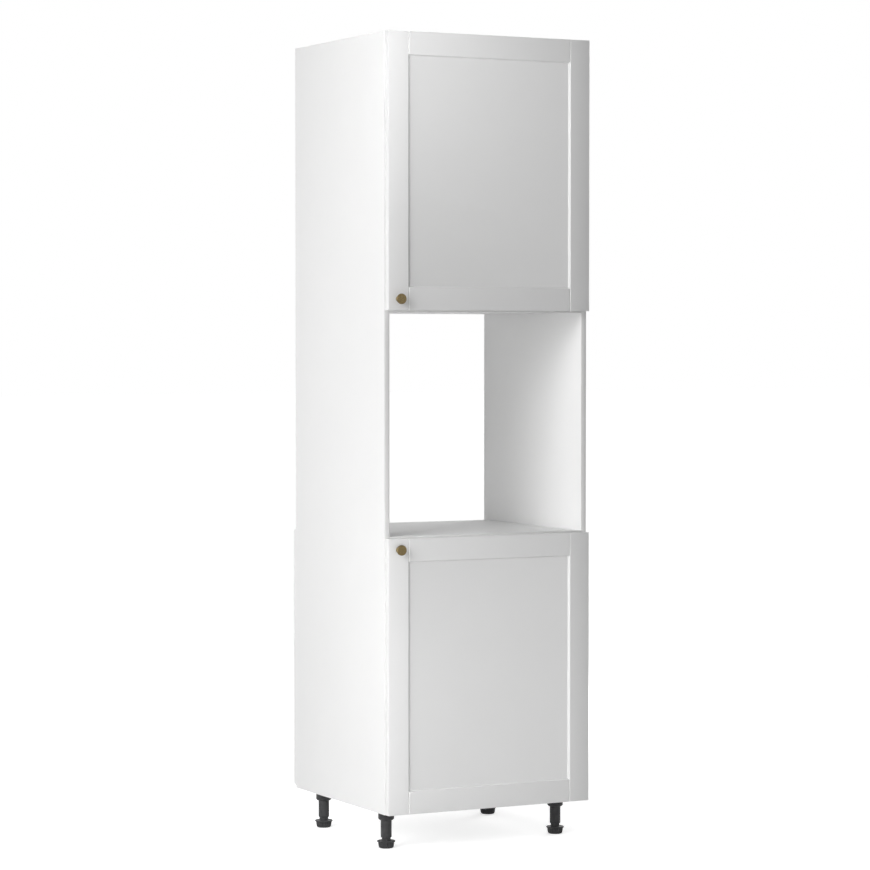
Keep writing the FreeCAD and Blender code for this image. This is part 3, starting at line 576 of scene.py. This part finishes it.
brown_hardboard, tree, principled = shader("brown_hardboard")
fibres = texture(tree, "ShaderNodeTexNoise", 420.0, Detail=6.0)
patches = texture(tree, "ShaderNodeTexNoise", 9.0, Detail=4.0)
dark_fibre = ramp(tree, fibres.outputs["Fac"], (0.20, 0.115, 0.060), (0.33, 0.205, 0.115))
tree.links.new(dark_fibre, principled.inputs["Base Color"])
rough = ramp(tree, patches.outputs["Fac"], 0.72, 0.88)
tree.links.new(rough, principled.inputs["Roughness"])
weave = texture(tree, "ShaderNodeTexVoronoi", 900.0)
bump(tree, principled, weave.outputs["Distance"], 0.0003, 0.7)

access_bores = [bore(ACCESS_RADIUS, THROUGH, mouth, FORWARD) for mouth in wall_holes]
low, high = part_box("upper_back_panel")
upper_back = start_box("upper_back", low, high)
bpy.ops.mesh.bevel(offset=HARDBOARD_EASE, segments=1, affect="EDGES")
give_faces(upper_back, 1, lambda middle: middle.y >= low.y + SAME_PLACE)
finish_piece(
    upper_back,
    "white_hardboard",
    "carcass",
    white_hardboard,
    brown_hardboard,
    replaces=("upper_back_panel",),
    bores=access_bores,
    lining=1,
)


# Lower back: a thick white board screwed on behind the lower part. Its top and bottom
# edges slope in towards the wall.
BACK_SLOPE = 0.010
BACK_EASE = 0.0006
BACK_SCREW = (4.0, 1.9, 45.0)
BACK_SCREW_SIDE = 0.2925
BACK_SCREW_LEVELS = (0.160, 0.460, 0.760)
SCREW_FIT = 0.1
SCREW_STEPS = 28
SCREW_POINT = 2.5
SCREW_TIP = 0.15
SLOT_REACH = 0.58
SLOT_WIDTH = 0.24
SLOT_DEPTH = 0.55


def sunk_bore(size, mouth, into):
    """A cutter for a countersunk screw's hole."""
    head, shank, length = size
    rows = (
        (head + SCREW_FIT, -CUTTER_LIFT),
        (head + SCREW_FIT, 0.0),
        (shank + SCREW_FIT, head - shank),
        (shank + SCREW_FIT, length + SCREW_FIT),
    )
    return turn("cutter", rows, BORE_STEPS, mouth, into)


low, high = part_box("lower_back_panel")
back_screw_places = []
for x in (-BACK_SCREW_SIDE, BACK_SCREW_SIDE):
    for z in BACK_SCREW_LEVELS:
        back_screw_places.append(Vector((x, high.y, z)))
back_bores = [sunk_bore(BACK_SCREW, place, FORWARD) for place in back_screw_places]
lower_back = start_box("lower_back", low, high)
for level, slope in ((low.z, BACK_SLOPE), (high.z, -BACK_SLOPE)):
    corner = Vector((0, high.y, level))
    choose("VERT", lambda vertex, middle: (middle.yz - corner.yz).length < SAME_PLACE)
    bpy.ops.transform.translate(value=(0, 0, slope))
bpy.ops.mesh.select_all(action="SELECT")
bpy.ops.mesh.bevel(offset=BACK_EASE, segments=2, affect="EDGES")
finish_piece(
    lower_back,
    "white_board",
    "carcass",
    melamine,
    replaces=("lower_back_panel",),
    bores=back_bores,
)


def screw(name, size, head_height=0.0):
    """A cross-slot screw at the origin, its head's seat at 0 and its point along Z. It is
    countersunk where no height is given for the head, and has a domed head otherwise."""
    head, shank, length = size
    if head_height:
        rows = [
            (head * 0.45, -head_height),
            (head * 0.78, -head_height * 0.88),
            (head * 0.95, -head_height * 0.6),
            (head, -head_height * 0.25),
            (head * 0.98, 0.0),
            (shank, 0.0),
        ]
    else:
        rows = [(head * 0.94, 0.0), (head, 0.12), (head, 0.3), (shank, head - shank)]
    rows += [(shank, length - SCREW_POINT), (shank * SCREW_TIP, length)]
    piece = turn(name, rows, SCREW_STEPS)
    top = -head_height / 1000
    reach = head * SLOT_REACH / 1000
    cross_slot(piece, reach, reach * SLOT_WIDTH, top, top + head * SLOT_DEPTH / 1000)
    return piece


back_screws = copies(
    screw("back_screw", BACK_SCREW),
    "back_screw_heads",
    [facing(place, FORWARD) for place in back_screw_places],
)
finish_piece(
    back_screws, "zinc_plated_screws", "carcass", plated_steel, replaces=("back_screws",)
)


# Shelves: one loose board in each compartment, on four metal supports. A support is a
# bent steel tab with a peg that plugs into a hole in the side panel.
SUPPORT_LEDGE = 0.008
SUPPORT_HALF = 0.004
SUPPORT_SHEET = 0.0012
SUPPORT_DROP = 0.011
SUPPORT_EASE = 0.0003
SHARP_TURN = 1.0
PEG_DROP = 0.006
PEG_ROWS = ((2.4, 0.0), (2.4, 9.4), (1.9, 10.0))
PEG_FRONT = 0.069
PEG_BACK = 0.080
PEG_STEPS = 24
RIGHT = Vector((1, 0, 0))
for name in ("lower_shelf", "upper_shelf"):
    board(name + "_board", name, (FRONT_EDGE,), REAR_EDGE)


def is_sharp(edge, middle):
    """An edge where two faces meet at a sharp turn."""
    return len(edge.link_faces) == 2 and edge.calc_face_angle(0) > SHARP_TURN


support = start_box(
    "support", (-SUPPORT_SHEET, -SUPPORT_HALF, -SUPPORT_DROP), (0, SUPPORT_HALF, 0)
)
bpy.ops.mesh.select_all(action="SELECT")
bpy.ops.mesh.bisect(plane_co=(0, 0, -SUPPORT_SHEET), plane_no=(0, 0, 1))
choose(
    "FACE",
    lambda face, middle: middle.z > -SUPPORT_SHEET and middle.x < -SUPPORT_SHEET + SAME_PLACE,
)
reach = SUPPORT_LEDGE - SUPPORT_SHEET
bpy.ops.mesh.extrude_region_move(TRANSFORM_OT_translate={"value": (-reach, 0, 0)})
choose("EDGE", is_sharp)
bpy.ops.mesh.bevel(offset=SUPPORT_EASE, segments=2, affect="EDGES")
leave_edit()
peg = turn("peg", PEG_ROWS, PEG_STEPS, (0, 0, -PEG_DROP), RIGHT)
support = join([support, peg])
side_low, side_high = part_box("right_side_panel")
support_places = []
for name in ("lower_shelf", "upper_shelf"):
    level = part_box(name)[0].z
    for y in (side_low.y + PEG_FRONT, side_high.y - PEG_BACK):
        right = Matrix.Translation((side_low.x, y, level))
        left = Matrix.Translation((-side_low.x, y, level)) @ Matrix.Rotation(math.pi, 4, "Z")
        support_places += [right, left]
supports = copies(support, "support_tabs", support_places)
finish_piece(
    supports, "zinc_plated_screws", "carcass", plated_steel, replaces=("shelf_supports",)
)


# Legs: black moulded plastic. A socket is screwed under the bottom board, a tube plugs
# onto it below its round collar, and a ribbed foot turns up and down in the tube.
SOCKET_HALF = 0.030
SOCKET_CORNER = 0.008
SOCKET_PLATE = 0.0035
SOCKET_EASE = 0.0005
LEG_SCREW = (3.6, 1.8, 14.0)
LEG_SCREW_CIRCLE = 0.026
TUBE_HEIGHT = 0.028
TUBE_ROWS = (
    (13.2, 0.0),
    (13.9, 0.3),
    (14.5, 1.6),
    (14.5, 44.0),
    (14.5, 46.0),
)
TUBE_BORE = 11.9
TUBE_BORE_DEPTH = 47.0
COLLAR_HEIGHT = 0.0225
COLLAR_ROWS = (
    (17.4, 0.0),
    (18.2, 0.2),
    (20.6, 2.7),
    (21.0, 3.5),
    (21.0, 21.0),
    (21.6, 22.0),
    (22.8, 22.6),
)
GRIP_ROWS = (
    (15.5, 0.0),
    (17.0, 0.2),
    (18.4, 1.0),
    (19.3, 2.5),
    (20.0, 4.0),
    (21.3, 15.6),
)
GRIP_RIBS = 22
RIB_STEPS = 4
RIB_ROOT = 0.925
RIB_FOOT = 0.0039
RIM_ROWS = (
    (20.2, 15.4),
    (22.9, 15.6),
    (23.7, 16.2),
    (24.0, 17.2),
    (23.9, 18.6),
    (23.4, 19.3),
    (22.6, 19.5),
    (20.8, 19.0),
    (12.6, 18.6),
    (11.75, 19.6),
    (11.75, 52.0),
    (11.2, 52.5),
)
LEG_STEPS = 56

leg_plastic, tree, principled = shader("leg_plastic")
tint = texture(tree, "ShaderNodeTexNoise", 90.0, Detail=3.0)
colour = ramp(tree, tint.outputs["Fac"], (0.046, 0.046, 0.048), (0.058, 0.058, 0.060))
tree.links.new(colour, principled.inputs["Base Color"])
rough = ramp(tree, tint.outputs["Fac"], 0.36, 0.44)
tree.links.new(rough, principled.inputs["Roughness"])
principled.inputs["Specular IOR Level"].default_value = 0.14
mould = texture(tree, "ShaderNodeTexNoise", 1400.0, Detail=2.0)
bump(tree, principled, mould.outputs["Fac"], 0.00006)


def middle_of(node):
    """The middle of a node's box."""
    low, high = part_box(node)
    return (low + high) / 2


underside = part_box("bottom_panel")[0].z
LEG_PLACES = ("front_left", "front_right", "rear_left", "rear_right")
leg_centres = []
for place in LEG_PLACES:
    centre = middle_of("leg_foot_" + place)
    centre.z = 0
    leg_centres.append(centre)

collar = turn("collar", COLLAR_ROWS, LEG_STEPS, (0, 0, -SOCKET_PLATE - COLLAR_HEIGHT))
corner_low = (-SOCKET_HALF, -SOCKET_HALF, -SOCKET_PLATE)
plate = start_box("plate", corner_low, (SOCKET_HALF, SOCKET_HALF, 0))
choose("EDGE", lambda edge, middle: abs(middle.z + SOCKET_PLATE / 2) < SAME_PLACE)
bpy.ops.mesh.bevel(offset=SOCKET_CORNER, segments=6, affect="EDGES")
choose("EDGE", lambda edge, middle: middle.z < -SOCKET_PLATE + SAME_PLACE)
bpy.ops.mesh.bevel(offset=SOCKET_EASE, segments=3, affect="EDGES")
leave_edit()
screw_spots = []
for third in range(3):
    angle = math.radians(90 + 120 * third)
    spot = Vector((math.cos(angle), math.sin(angle), 0)) * LEG_SCREW_CIRCLE
    screw_spots.append(spot + Vector((0, 0, -SOCKET_PLATE)))
cut_out(plate, [sunk_bore(LEG_SCREW, spot, UP) for spot in screw_spots])
socket = join([plate, collar])
under_board = [Matrix.Translation(centre + UP * underside) for centre in leg_centres]
sockets = copies(socket, "socket_mouldings", under_board)
finish_piece(sockets, "leg_plastic", "carcass", leg_plastic, replaces=("leg_sockets",))

leg_screw_places = []
for centre in leg_centres:
    for spot in screw_spots:
        leg_screw_places.append(facing(centre + UP * underside + spot, UP))
leg_screws = copies(screw("leg_screw", LEG_SCREW), "leg_screw_heads", leg_screw_places)
finish_piece(
    leg_screws, "zinc_plated_screws", "carcass", plated_steel, replaces=("leg_socket_screws",)
)

tube = turn("tube", TUBE_ROWS, LEG_STEPS)
cut_out(tube, [bore(TUBE_BORE, TUBE_BORE_DEPTH, (0, 0, 0), UP)])
tubes = copies(
    tube, "tube_mouldings", [Matrix.Translation(c + UP * TUBE_HEIGHT) for c in leg_centres]
)
finish_piece(tubes, "leg_plastic", "carcass", leg_plastic, replaces=("leg_columns",))

grip = turn("grip", GRIP_ROWS, RIB_STEPS * GRIP_RIBS)
bpy.ops.object.mode_set(mode="EDIT")


def between_ribs(vertex, middle):
    """Two of each rib's four steps around the grip, above its rounded foot."""
    around = math.atan2(middle.y, middle.x) / (2 * math.pi)
    step = round(around * RIB_STEPS * GRIP_RIBS)
    return step % RIB_STEPS in (2, 3) and middle.z > RIB_FOOT


choose("VERT", between_ribs)
bpy.ops.transform.resize(value=(RIB_ROOT, RIB_ROOT, 1), center_override=(0, 0, 0))
bpy.ops.object.mode_set(mode="OBJECT")
foot_master = join([grip, turn("rim", RIM_ROWS, LEG_STEPS)])
for place, centre in zip(LEG_PLACES, leg_centres):
    mesh = foot_master.data.copy()
    mesh.transform(Matrix.Translation(centre))
    foot = bpy.data.objects.new("foot_moulding_" + place, mesh)
    scene.collection.objects.link(foot)
    node = "leg_foot_" + place
    finish_piece(foot, "leg_plastic", "foot_" + place, leg_plastic, replaces=(node,), angle=30)
bpy.data.objects.remove(foot_master)


# Doors: one piece of fibreboard each, routed to a frame with a flat sunk panel and a
# fine V groove along both stiles, then sprayed white all over.
FRAME_WIDTH = 0.059
PANEL_DEPTH = 0.005
SLOPE_WIDTH = 0.0036
GROOVE_DEPTH = 0.0014
GROOVE_HALF = 0.0017
DOOR_RADIUS = 0.0012
PANEL_ROOT = 0.0008
KNOB_BORE = 2.1
CUP_BORE = 17.5
CUP_BORE_DEPTH = 13.2
CUP_X = 0.2775
HINGE_FROM_END = 0.100
door_paint = white_finish("door_paint", (0.84, 0.84, 0.838), 0.36, 420.0, 0.000025)

fibreboard, tree, principled = shader("fibreboard")
dust = texture(tree, "ShaderNodeTexNoise", 900.0, Detail=4.0)
tint = ramp(tree, dust.outputs["Fac"], (0.36, 0.25, 0.15), (0.47, 0.34, 0.21))
tree.links.new(tint, principled.inputs["Base Color"])
rough = ramp(tree, dust.outputs["Fac"], 0.84, 0.94)
tree.links.new(rough, principled.inputs["Roughness"])
bump(tree, principled, dust.outputs["Fac"], 0.0001)


def hinge_heights(node):
    """The heights of a door's two hinges."""
    low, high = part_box(node)
    return (low.z + HINGE_FROM_END, high.z - HINGE_FROM_END)


def door(name, node, body):
    """A routed door leaf that takes a node's place, bored for its knob and hinges."""
    low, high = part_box(node)
    front = low.y
    pull = middle_of(body.replace("door", "knob"))
    bores = [bore(KNOB_BORE, THROUGH, (pull.x, high.y, pull.z), FORWARD)]
    for z in hinge_heights(node):
        bores.append(bore(CUP_BORE, CUP_BORE_DEPTH, (CUP_X, high.y, z), FORWARD))
    piece = start_box(name, low, high)
    bpy.ops.mesh.select_all(action="SELECT")
    bpy.ops.mesh.bevel(offset=DOOR_RADIUS, segments=3, affect="EDGES")
    line = high.x - FRAME_WIDTH
    for x in (-line, line):
        bpy.ops.mesh.select_all(action="SELECT")
        bpy.ops.mesh.bisect(plane_co=(x, 0, 0), plane_no=(1, 0, 0))
    for z in (low.z + FRAME_WIDTH, high.z - FRAME_WIDTH):
        bpy.ops.mesh.select_all(action="SELECT")
        bpy.ops.mesh.bisect(plane_co=(0, 0, z), plane_no=(0, 0, 1))

    def in_mouth(face, middle):
        inside = low.z + FRAME_WIDTH < middle.z < high.z - FRAME_WIDTH
        return inside and abs(middle.x) < line and middle.y < front + PANEL_DEPTH + SAME_PLACE

    choose("FACE", in_mouth)
    bpy.ops.mesh.inset(thickness=SLOPE_WIDTH, depth=-PANEL_DEPTH)
    level = front + PANEL_DEPTH
    choose("EDGE", lambda e, m: all(abs(v.co.y - level) < SAME_PLACE for v in e.verts))
    bpy.ops.mesh.bevel(offset=PANEL_ROOT, segments=3, affect="EDGES")
    for x in (line - GROOVE_HALF, line + GROOVE_HALF):
        for side in (-1, 1):
            choose("FACE", lambda face, middle: not in_mouth(face, middle))
            bpy.ops.mesh.bisect(plane_co=(side * x, 0, 0), plane_no=(1, 0, 0))
    mesh = bmesh.from_edit_mesh(piece.data)
    for vertex in mesh.verts:
        if abs(abs(vertex.co.x) - line) < SAME_PLACE and vertex.co.y < front + GROOVE_DEPTH:
            vertex.co.y = front + GROOVE_DEPTH
    bmesh.update_edit_mesh(piece.data)
    finish_piece(
        piece,
        "door_paint",
        body,
        door_paint,
        fibreboard,
        replaces=(node,),
        angle=25,
        bores=bores,
        lining=1,
    )


for level in ("lower", "upper"):
    door(level + "_door_leaf", level + "_door", level + "_door")


# Knobs: turned brass, aged to a dull olive brown, with a round foot, a waist and a flared
# disc, each held by a screw from behind. Two clear bumpers sit on the back of each door,
# near its free edge.
KNOB_ROWS = (
    (7.5, 0.0),
    (7.5, 0.8),
    (7.0, 1.4),
    (5.4, 2.6),
    (4.7, 4.4),
    (4.6, 6.5),
    (4.6, 9.6),
    (5.0, 11.2),
    (6.4, 12.8),
    (9.0, 14.1),
    (12.4, 15.0),
    (13.2, 15.4),
    (13.5, 16.0),
    (13.5, 18.9),
    (13.3, 19.5),
    (12.7, 19.9),
    (11.8, 20.0),
    (11.4, 19.7),
    (11.0, 19.6),
    (6.0, 19.75),
    (2.0, 19.8),
)
KNOB_STEPS = 64
KNOB_SCREW = (4.0, 2.0, 25.0)
KNOB_SCREW_HEAD = 2.4
BUMPER_ROWS = ((4.0, 0.0), (4.0, 0.5), (3.75, 1.05), (3.0, 1.45), (1.8, 1.65), (0.6, 1.7))
BUMPER_STEPS = 32
BUMPER_X = -0.2925
BUMPER_FROM_END = 0.030

aged_brass = metal(
    "aged_brass", (0.125, 0.094, 0.044), (0.225, 0.172, 0.088), 0.32, 0.48, 700.0, 0.00007, 240.0
)

clear_bumper, tree, principled = shader("clear_bumper")
cloud = texture(tree, "ShaderNodeTexNoise", 300.0, Detail=2.0)
tint = ramp(tree, cloud.outputs["Fac"], (0.86, 0.88, 0.88), (0.93, 0.94, 0.94))
tree.links.new(tint, principled.inputs["Base Color"])
rough = ramp(tree, cloud.outputs["Fac"], 0.18, 0.28)
tree.links.new(rough, principled.inputs["Roughness"])
principled.inputs["IOR"].default_value = 1.43
principled.inputs["Transmission Weight"].default_value = 0.85
bump(tree, principled, cloud.outputs["Fac"], 0.00003)

for level in ("lower", "upper"):
    body = level + "_door"
    node = level + "_knob"
    door_low, door_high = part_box(body)
    seat = middle_of(node)
    seat.y = door_low.y
    knob = turn(node + "_brass", KNOB_ROWS, KNOB_STEPS, seat, FORWARD)
    finish_piece(knob, "aged_brass", body, aged_brass, replaces=(node,), angle=50)

    behind = Vector((seat.x, door_high.y, seat.z))
    head = copies(
        screw("knob_screw", KNOB_SCREW, KNOB_SCREW_HEAD),
        level + "_knob_screw_head",
        [facing(behind, FORWARD)],
    )
    finish_piece(
        head, "zinc_plated_screws", body, plated_steel, replaces=(level + "_knob_screw",)
    )

    spots = []
    for z in (door_low.z + BUMPER_FROM_END, door_high.z - BUMPER_FROM_END):
        spots.append(facing((BUMPER_X, door_high.y, z), BACKWARD))
    dots = copies(turn("bumper", BUMPER_ROWS, BUMPER_STEPS), level + "_bumper_dots", spots)
    finish_piece(
        dots, "clear_bumper", body, clear_bumper, replaces=(level + "_door_bumpers",), angle=60
    )


# Hinges: pressed steel cups sunk into the door, each with an eared flange and a pin in
# two lugs. A cranked arm runs from the pin onto a cast plate on the right side panel.
CUP_ROWS = (
    (15.2, 0.2),
    (16.6, 0.6),
    (17.3, 1.6),
    (17.4, 2.6),
    (17.4, 14.3),
    (16.9, 14.4),
    (16.7, 14.1),
    (16.7, 2.8),
    (16.3, 1.7),
    (15.0, 1.0),
    (3.0, 0.9),
)
CUP_STEPS = 64
CUP_MOUTH = 17.3
CUP_MOUTH_DEPTH = 4.0
FLANGE = 0.0012
FLANGE_LEFT = 0.2584
FLANGE_RIGHT = 0.2950
FLANGE_SHOULDER = 0.013
EAR_REACH = 0.031
EAR_X = 0.2715
EAR_HALF = 0.007
EAR_ROUND = 0.0045
SHOULDER_ROUND = 0.003
FLANGE_EASE = 0.0003
CUP_SCREW = (3.4, 1.7, 14.0)
CUP_SCREW_REACH = 0.024
PIN_X = 0.2915
PIN_Y = -0.2720
PIN_ROWS = ((0.8, 0.0), (1.17, 0.35), (1.17, 12.65), (0.8, 13.0))
PIN_HALF = 0.0065
PIN_STEPS = 24
LUG_RADIUS = 0.002
LUG_ROUND = 0.00196
LUG_NEAR = 0.0032
LUG_FAR = 0.0066
LUG_FOOT = 0.0006
LUG_BORE = 1.22
LUG_BORE_DEPTH = 5.0
KNUCKLE_ROWS = ((2.0, 0.0), (2.0, 6.0))
KNUCKLE_HALF = 0.003
KNUCKLE_STEPS = 28
KNUCKLE_BORE = 1.25
KNUCKLE_BORE_DEPTH = 7.0
ARM_EASE = 0.00025
ARM_MERGE = 0.000002
ARM_FLAT = math.radians(3)
ARM_SHARP = math.radians(40)
PLATE_SCREW = (4.2, 2.2, 14.0)
ARM_SCREW = (3.6, 2.4, 10.0)
ARM_SCREW_HEAD = 2.0
ARM_TOP = 0.0161
ARM_SCREW_ROW = 0.044
PLATE_BASE = 0.0025
PLATE_REACH = 0.026
PLATE_HALF = 0.008
PLATE_CORNER = 0.004
PLATE_EASE = 0.0005
PLATE_ROW = 0.037
PLATE_SCREW_REACH = 0.016
RAIL_RISE = 0.0139
RAIL_FRONT = 0.018
RAIL_BACK = 0.058
RAIL_HALF = 0.0056
RAIL_EASE = 0.0006
RAIL_BORE = 2.5
RAIL_BORE_DEPTH = 12.0
nickel_steel = metal(
    "nickel_steel", (0.56, 0.54, 0.50), (0.70, 0.68, 0.64), 0.20, 0.32, 2600.0, 0.00002, 60.0
)


def eased(node, name, width):
    """A copy of a CAD node's mesh, merged and with its edges eased."""
    piece = bpy.data.objects.new(name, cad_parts[node].data.copy())
    piece.data.materials.clear()
    scene.collection.objects.link(piece)
    pick(piece)
    bpy.ops.object.mode_set(mode="EDIT")
    bpy.ops.mesh.select_all(action="SELECT")
    bpy.ops.mesh.remove_doubles(threshold=ARM_MERGE)
    bpy.ops.mesh.dissolve_limited(angle_limit=ARM_FLAT)
    choose("EDGE", lambda e, m: len(e.link_faces) == 2 and e.calc_face_angle(0) > ARM_SHARP)
    bpy.ops.mesh.bevel(offset=width, segments=2, affect="EDGES", clamp_overlap=False)
    bpy.ops.object.mode_set(mode="OBJECT")
    return piece


def hinge_cup(rear):
    """One cup with its flange and lugs, at height 0."""
    top = rear + FLANGE
    cup_floor = rear - CUP_BORE_DEPTH / 1000
    cup = turn("cup", CUP_ROWS, CUP_STEPS, (CUP_X, cup_floor, 0), BACKWARD)
    bores = [bore(CUP_MOUTH, CUP_MOUTH_DEPTH, (CUP_X, top, 0), FORWARD)]
    for side in (-1, 1):
        bores.append(sunk_bore(CUP_SCREW, (EAR_X, top, side * CUP_SCREW_REACH), FORWARD))
    flange = start_box(
        "flange", (FLANGE_LEFT, rear, -EAR_REACH), (FLANGE_RIGHT, top, EAR_REACH)
    )
    for level in (-FLANGE_SHOULDER, FLANGE_SHOULDER):
        bpy.ops.mesh.select_all(action="SELECT")
        bpy.ops.mesh.bisect(plane_co=(0, 0, level), plane_no=(0, 0, 1))
    for edge_x, ear_x in ((FLANGE_LEFT, EAR_X - EAR_HALF), (FLANGE_RIGHT, EAR_X + EAR_HALF)):
        corner = Vector((edge_x, 0, EAR_REACH))
        choose("VERT", lambda v, m: (Vector((m.x, 0, abs(m.z))) - corner).length < SAME_PLACE)
        bpy.ops.transform.translate(value=(ear_x - edge_x, 0, 0))

    def upright(middle, low, high):
        halfway = abs(middle.y - rear - FLANGE / 2) < SAME_PLACE
        return halfway and low - SAME_PLACE < abs(middle.z) < high + SAME_PLACE

    choose("EDGE", lambda e, m: upright(m, EAR_REACH, EAR_REACH))
    bpy.ops.mesh.bevel(offset=EAR_ROUND, segments=6, affect="EDGES")
    choose("EDGE", lambda e, m: upright(m, 0, FLANGE_SHOULDER))
    bpy.ops.mesh.bevel(offset=SHOULDER_ROUND, segments=4, affect="EDGES")
    choose("EDGE", lambda e, m: m.y > top - SAME_PLACE and is_sharp(e, m))
    bpy.ops.mesh.bevel(offset=FLANGE_EASE, segments=2, affect="EDGES")
    leave_edit()
    cut_out(flange, bores)
    parts = [cup, flange]
    for side in (-1, 1):
        near, far = sorted((side * LUG_NEAR, side * LUG_FAR))
        lug_low = (PIN_X - LUG_RADIUS, cup_floor + LUG_FOOT, near)
        lug = start_box("lug", lug_low, (PIN_X + LUG_RADIUS, PIN_Y + LUG_RADIUS, far))
        middle_z = (near + far) / 2
        choose("EDGE", lambda e, m: abs(m.z - middle_z) < SAME_PLACE and m.y > PIN_Y)
        bpy.ops.mesh.bevel(offset=LUG_ROUND, segments=7, affect="EDGES")
        leave_edit()
        cut_out(lug, [bore(LUG_BORE, LUG_BORE_DEPTH, (PIN_X, PIN_Y, near), UP)])
        parts.append(lug)
    return join(parts)


def hinge_plate(board_face, front):
    """One plate with the rail for the arm, at height 0."""
    top = board_face - PLATE_BASE
    row = front + PLATE_ROW
    bores = []
    for side in (-1, 1):
        bores.append(sunk_bore(PLATE_SCREW, (top, row, side * PLATE_SCREW_REACH), RIGHT))
    wings = start_box(
        "wings",
        (top, row - PLATE_HALF, -PLATE_REACH),
        (board_face, row + PLATE_HALF, PLATE_REACH),
    )
    choose("EDGE", lambda e, m: abs(m.x - (top + board_face) / 2) < SAME_PLACE)
    bpy.ops.mesh.bevel(offset=PLATE_CORNER, segments=6, affect="EDGES")
    choose("EDGE", lambda e, m: m.x < top + SAME_PLACE)
    bpy.ops.mesh.bevel(offset=PLATE_EASE, segments=3, affect="EDGES")
    leave_edit()
    cut_out(wings, bores)
    rail_top = board_face - RAIL_RISE
    mouth = (rail_top, front + ARM_SCREW_ROW, 0)
    rail_bore = bore(RAIL_BORE, RAIL_BORE_DEPTH, mouth, RIGHT)
    rail = start_box(
        "rail",
        (rail_top, front + RAIL_FRONT, -RAIL_HALF),
        (board_face, front + RAIL_BACK, RAIL_HALF),
    )
    bpy.ops.mesh.select_all(action="SELECT")
    bpy.ops.mesh.bevel(offset=RAIL_EASE, segments=2, affect="EDGES")
    leave_edit()
    cut_out(rail, [rail_bore])
    return join([wings, rail])


plate_screw_places = []
arm_screw_places = []
panel_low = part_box("right_side_panel")[0]
for level in ("lower", "upper"):
    body = level + "_door"
    heights = hinge_heights(body)
    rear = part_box(body)[1].y
    at_heights = [Matrix.Translation((0, 0, z)) for z in heights]

    cups = copies(hinge_cup(rear), level + "_cups", at_heights)
    finish_piece(cups, "nickel_steel", body, nickel_steel, replaces=(level + "_hinge_cups",))

    pin = turn("pin", PIN_ROWS, PIN_STEPS, (PIN_X, PIN_Y, -PIN_HALF))
    pins = copies(pin, level + "_pins", at_heights)
    finish_piece(pins, "nickel_steel", body, nickel_steel, replaces=(level + "_hinge_pins",))

    places = []
    for z in heights:
        for side in (-1, 1):
            mouth = (EAR_X, rear + FLANGE, z + side * CUP_SCREW_REACH)
            places.append(facing(mouth, FORWARD))
    heads = copies(screw("cup_screw", CUP_SCREW), level + "_cup_screw_heads", places)
    finish_piece(
        heads, "zinc_plated_screws", body, plated_steel, replaces=(level + "_cup_screws",)
    )

    knuckle_foot = (PIN_X, PIN_Y, -KNUCKLE_HALF)
    knuckle = turn("knuckle", KNUCKLE_ROWS, KNUCKLE_STEPS, knuckle_foot)
    cut_out(knuckle, [bore(KNUCKLE_BORE, KNUCKLE_BORE_DEPTH, knuckle_foot, UP)])
    knuckles = copies(knuckle, "knuckles", at_heights)
    arms = join([eased(level + "_hinge_arms", level + "_arms", ARM_EASE), knuckles])
    finish_piece(
        arms, "nickel_steel", "carcass", nickel_steel, replaces=(level + "_hinge_arms",)
    )

    board_face, front = panel_low.x, panel_low.y
    plates = copies(hinge_plate(board_face, front), level + "_plates", at_heights)
    finish_piece(
        plates, "zinc_casting", "carcass", nickel_steel, replaces=(level + "_hinge_plates",)
    )
    for z in heights:
        for side in (-1, 1):
            height = z + side * PLATE_SCREW_REACH
            mouth = (board_face - PLATE_BASE, front + PLATE_ROW, height)
            plate_screw_places.append(facing(mouth, RIGHT))
        seat = (board_face - ARM_TOP, front + ARM_SCREW_ROW, z)
        arm_screw_places.append(facing(seat, RIGHT))

plate_screws = copies(
    screw("plate_screw", PLATE_SCREW), "plate_screw_heads", plate_screw_places
)
finish_piece(
    plate_screws,
    "zinc_plated_screws",
    "carcass",
    plated_steel,
    replaces=("hinge_plate_screws",),
)
arm_screws = copies(
    screw("arm_screw", ARM_SCREW, ARM_SCREW_HEAD), "arm_screw_heads", arm_screw_places
)
finish_piece(
    arm_screws, "zinc_plated_screws", "carcass", plated_steel, replaces=("hinge_arm_screws",)
)
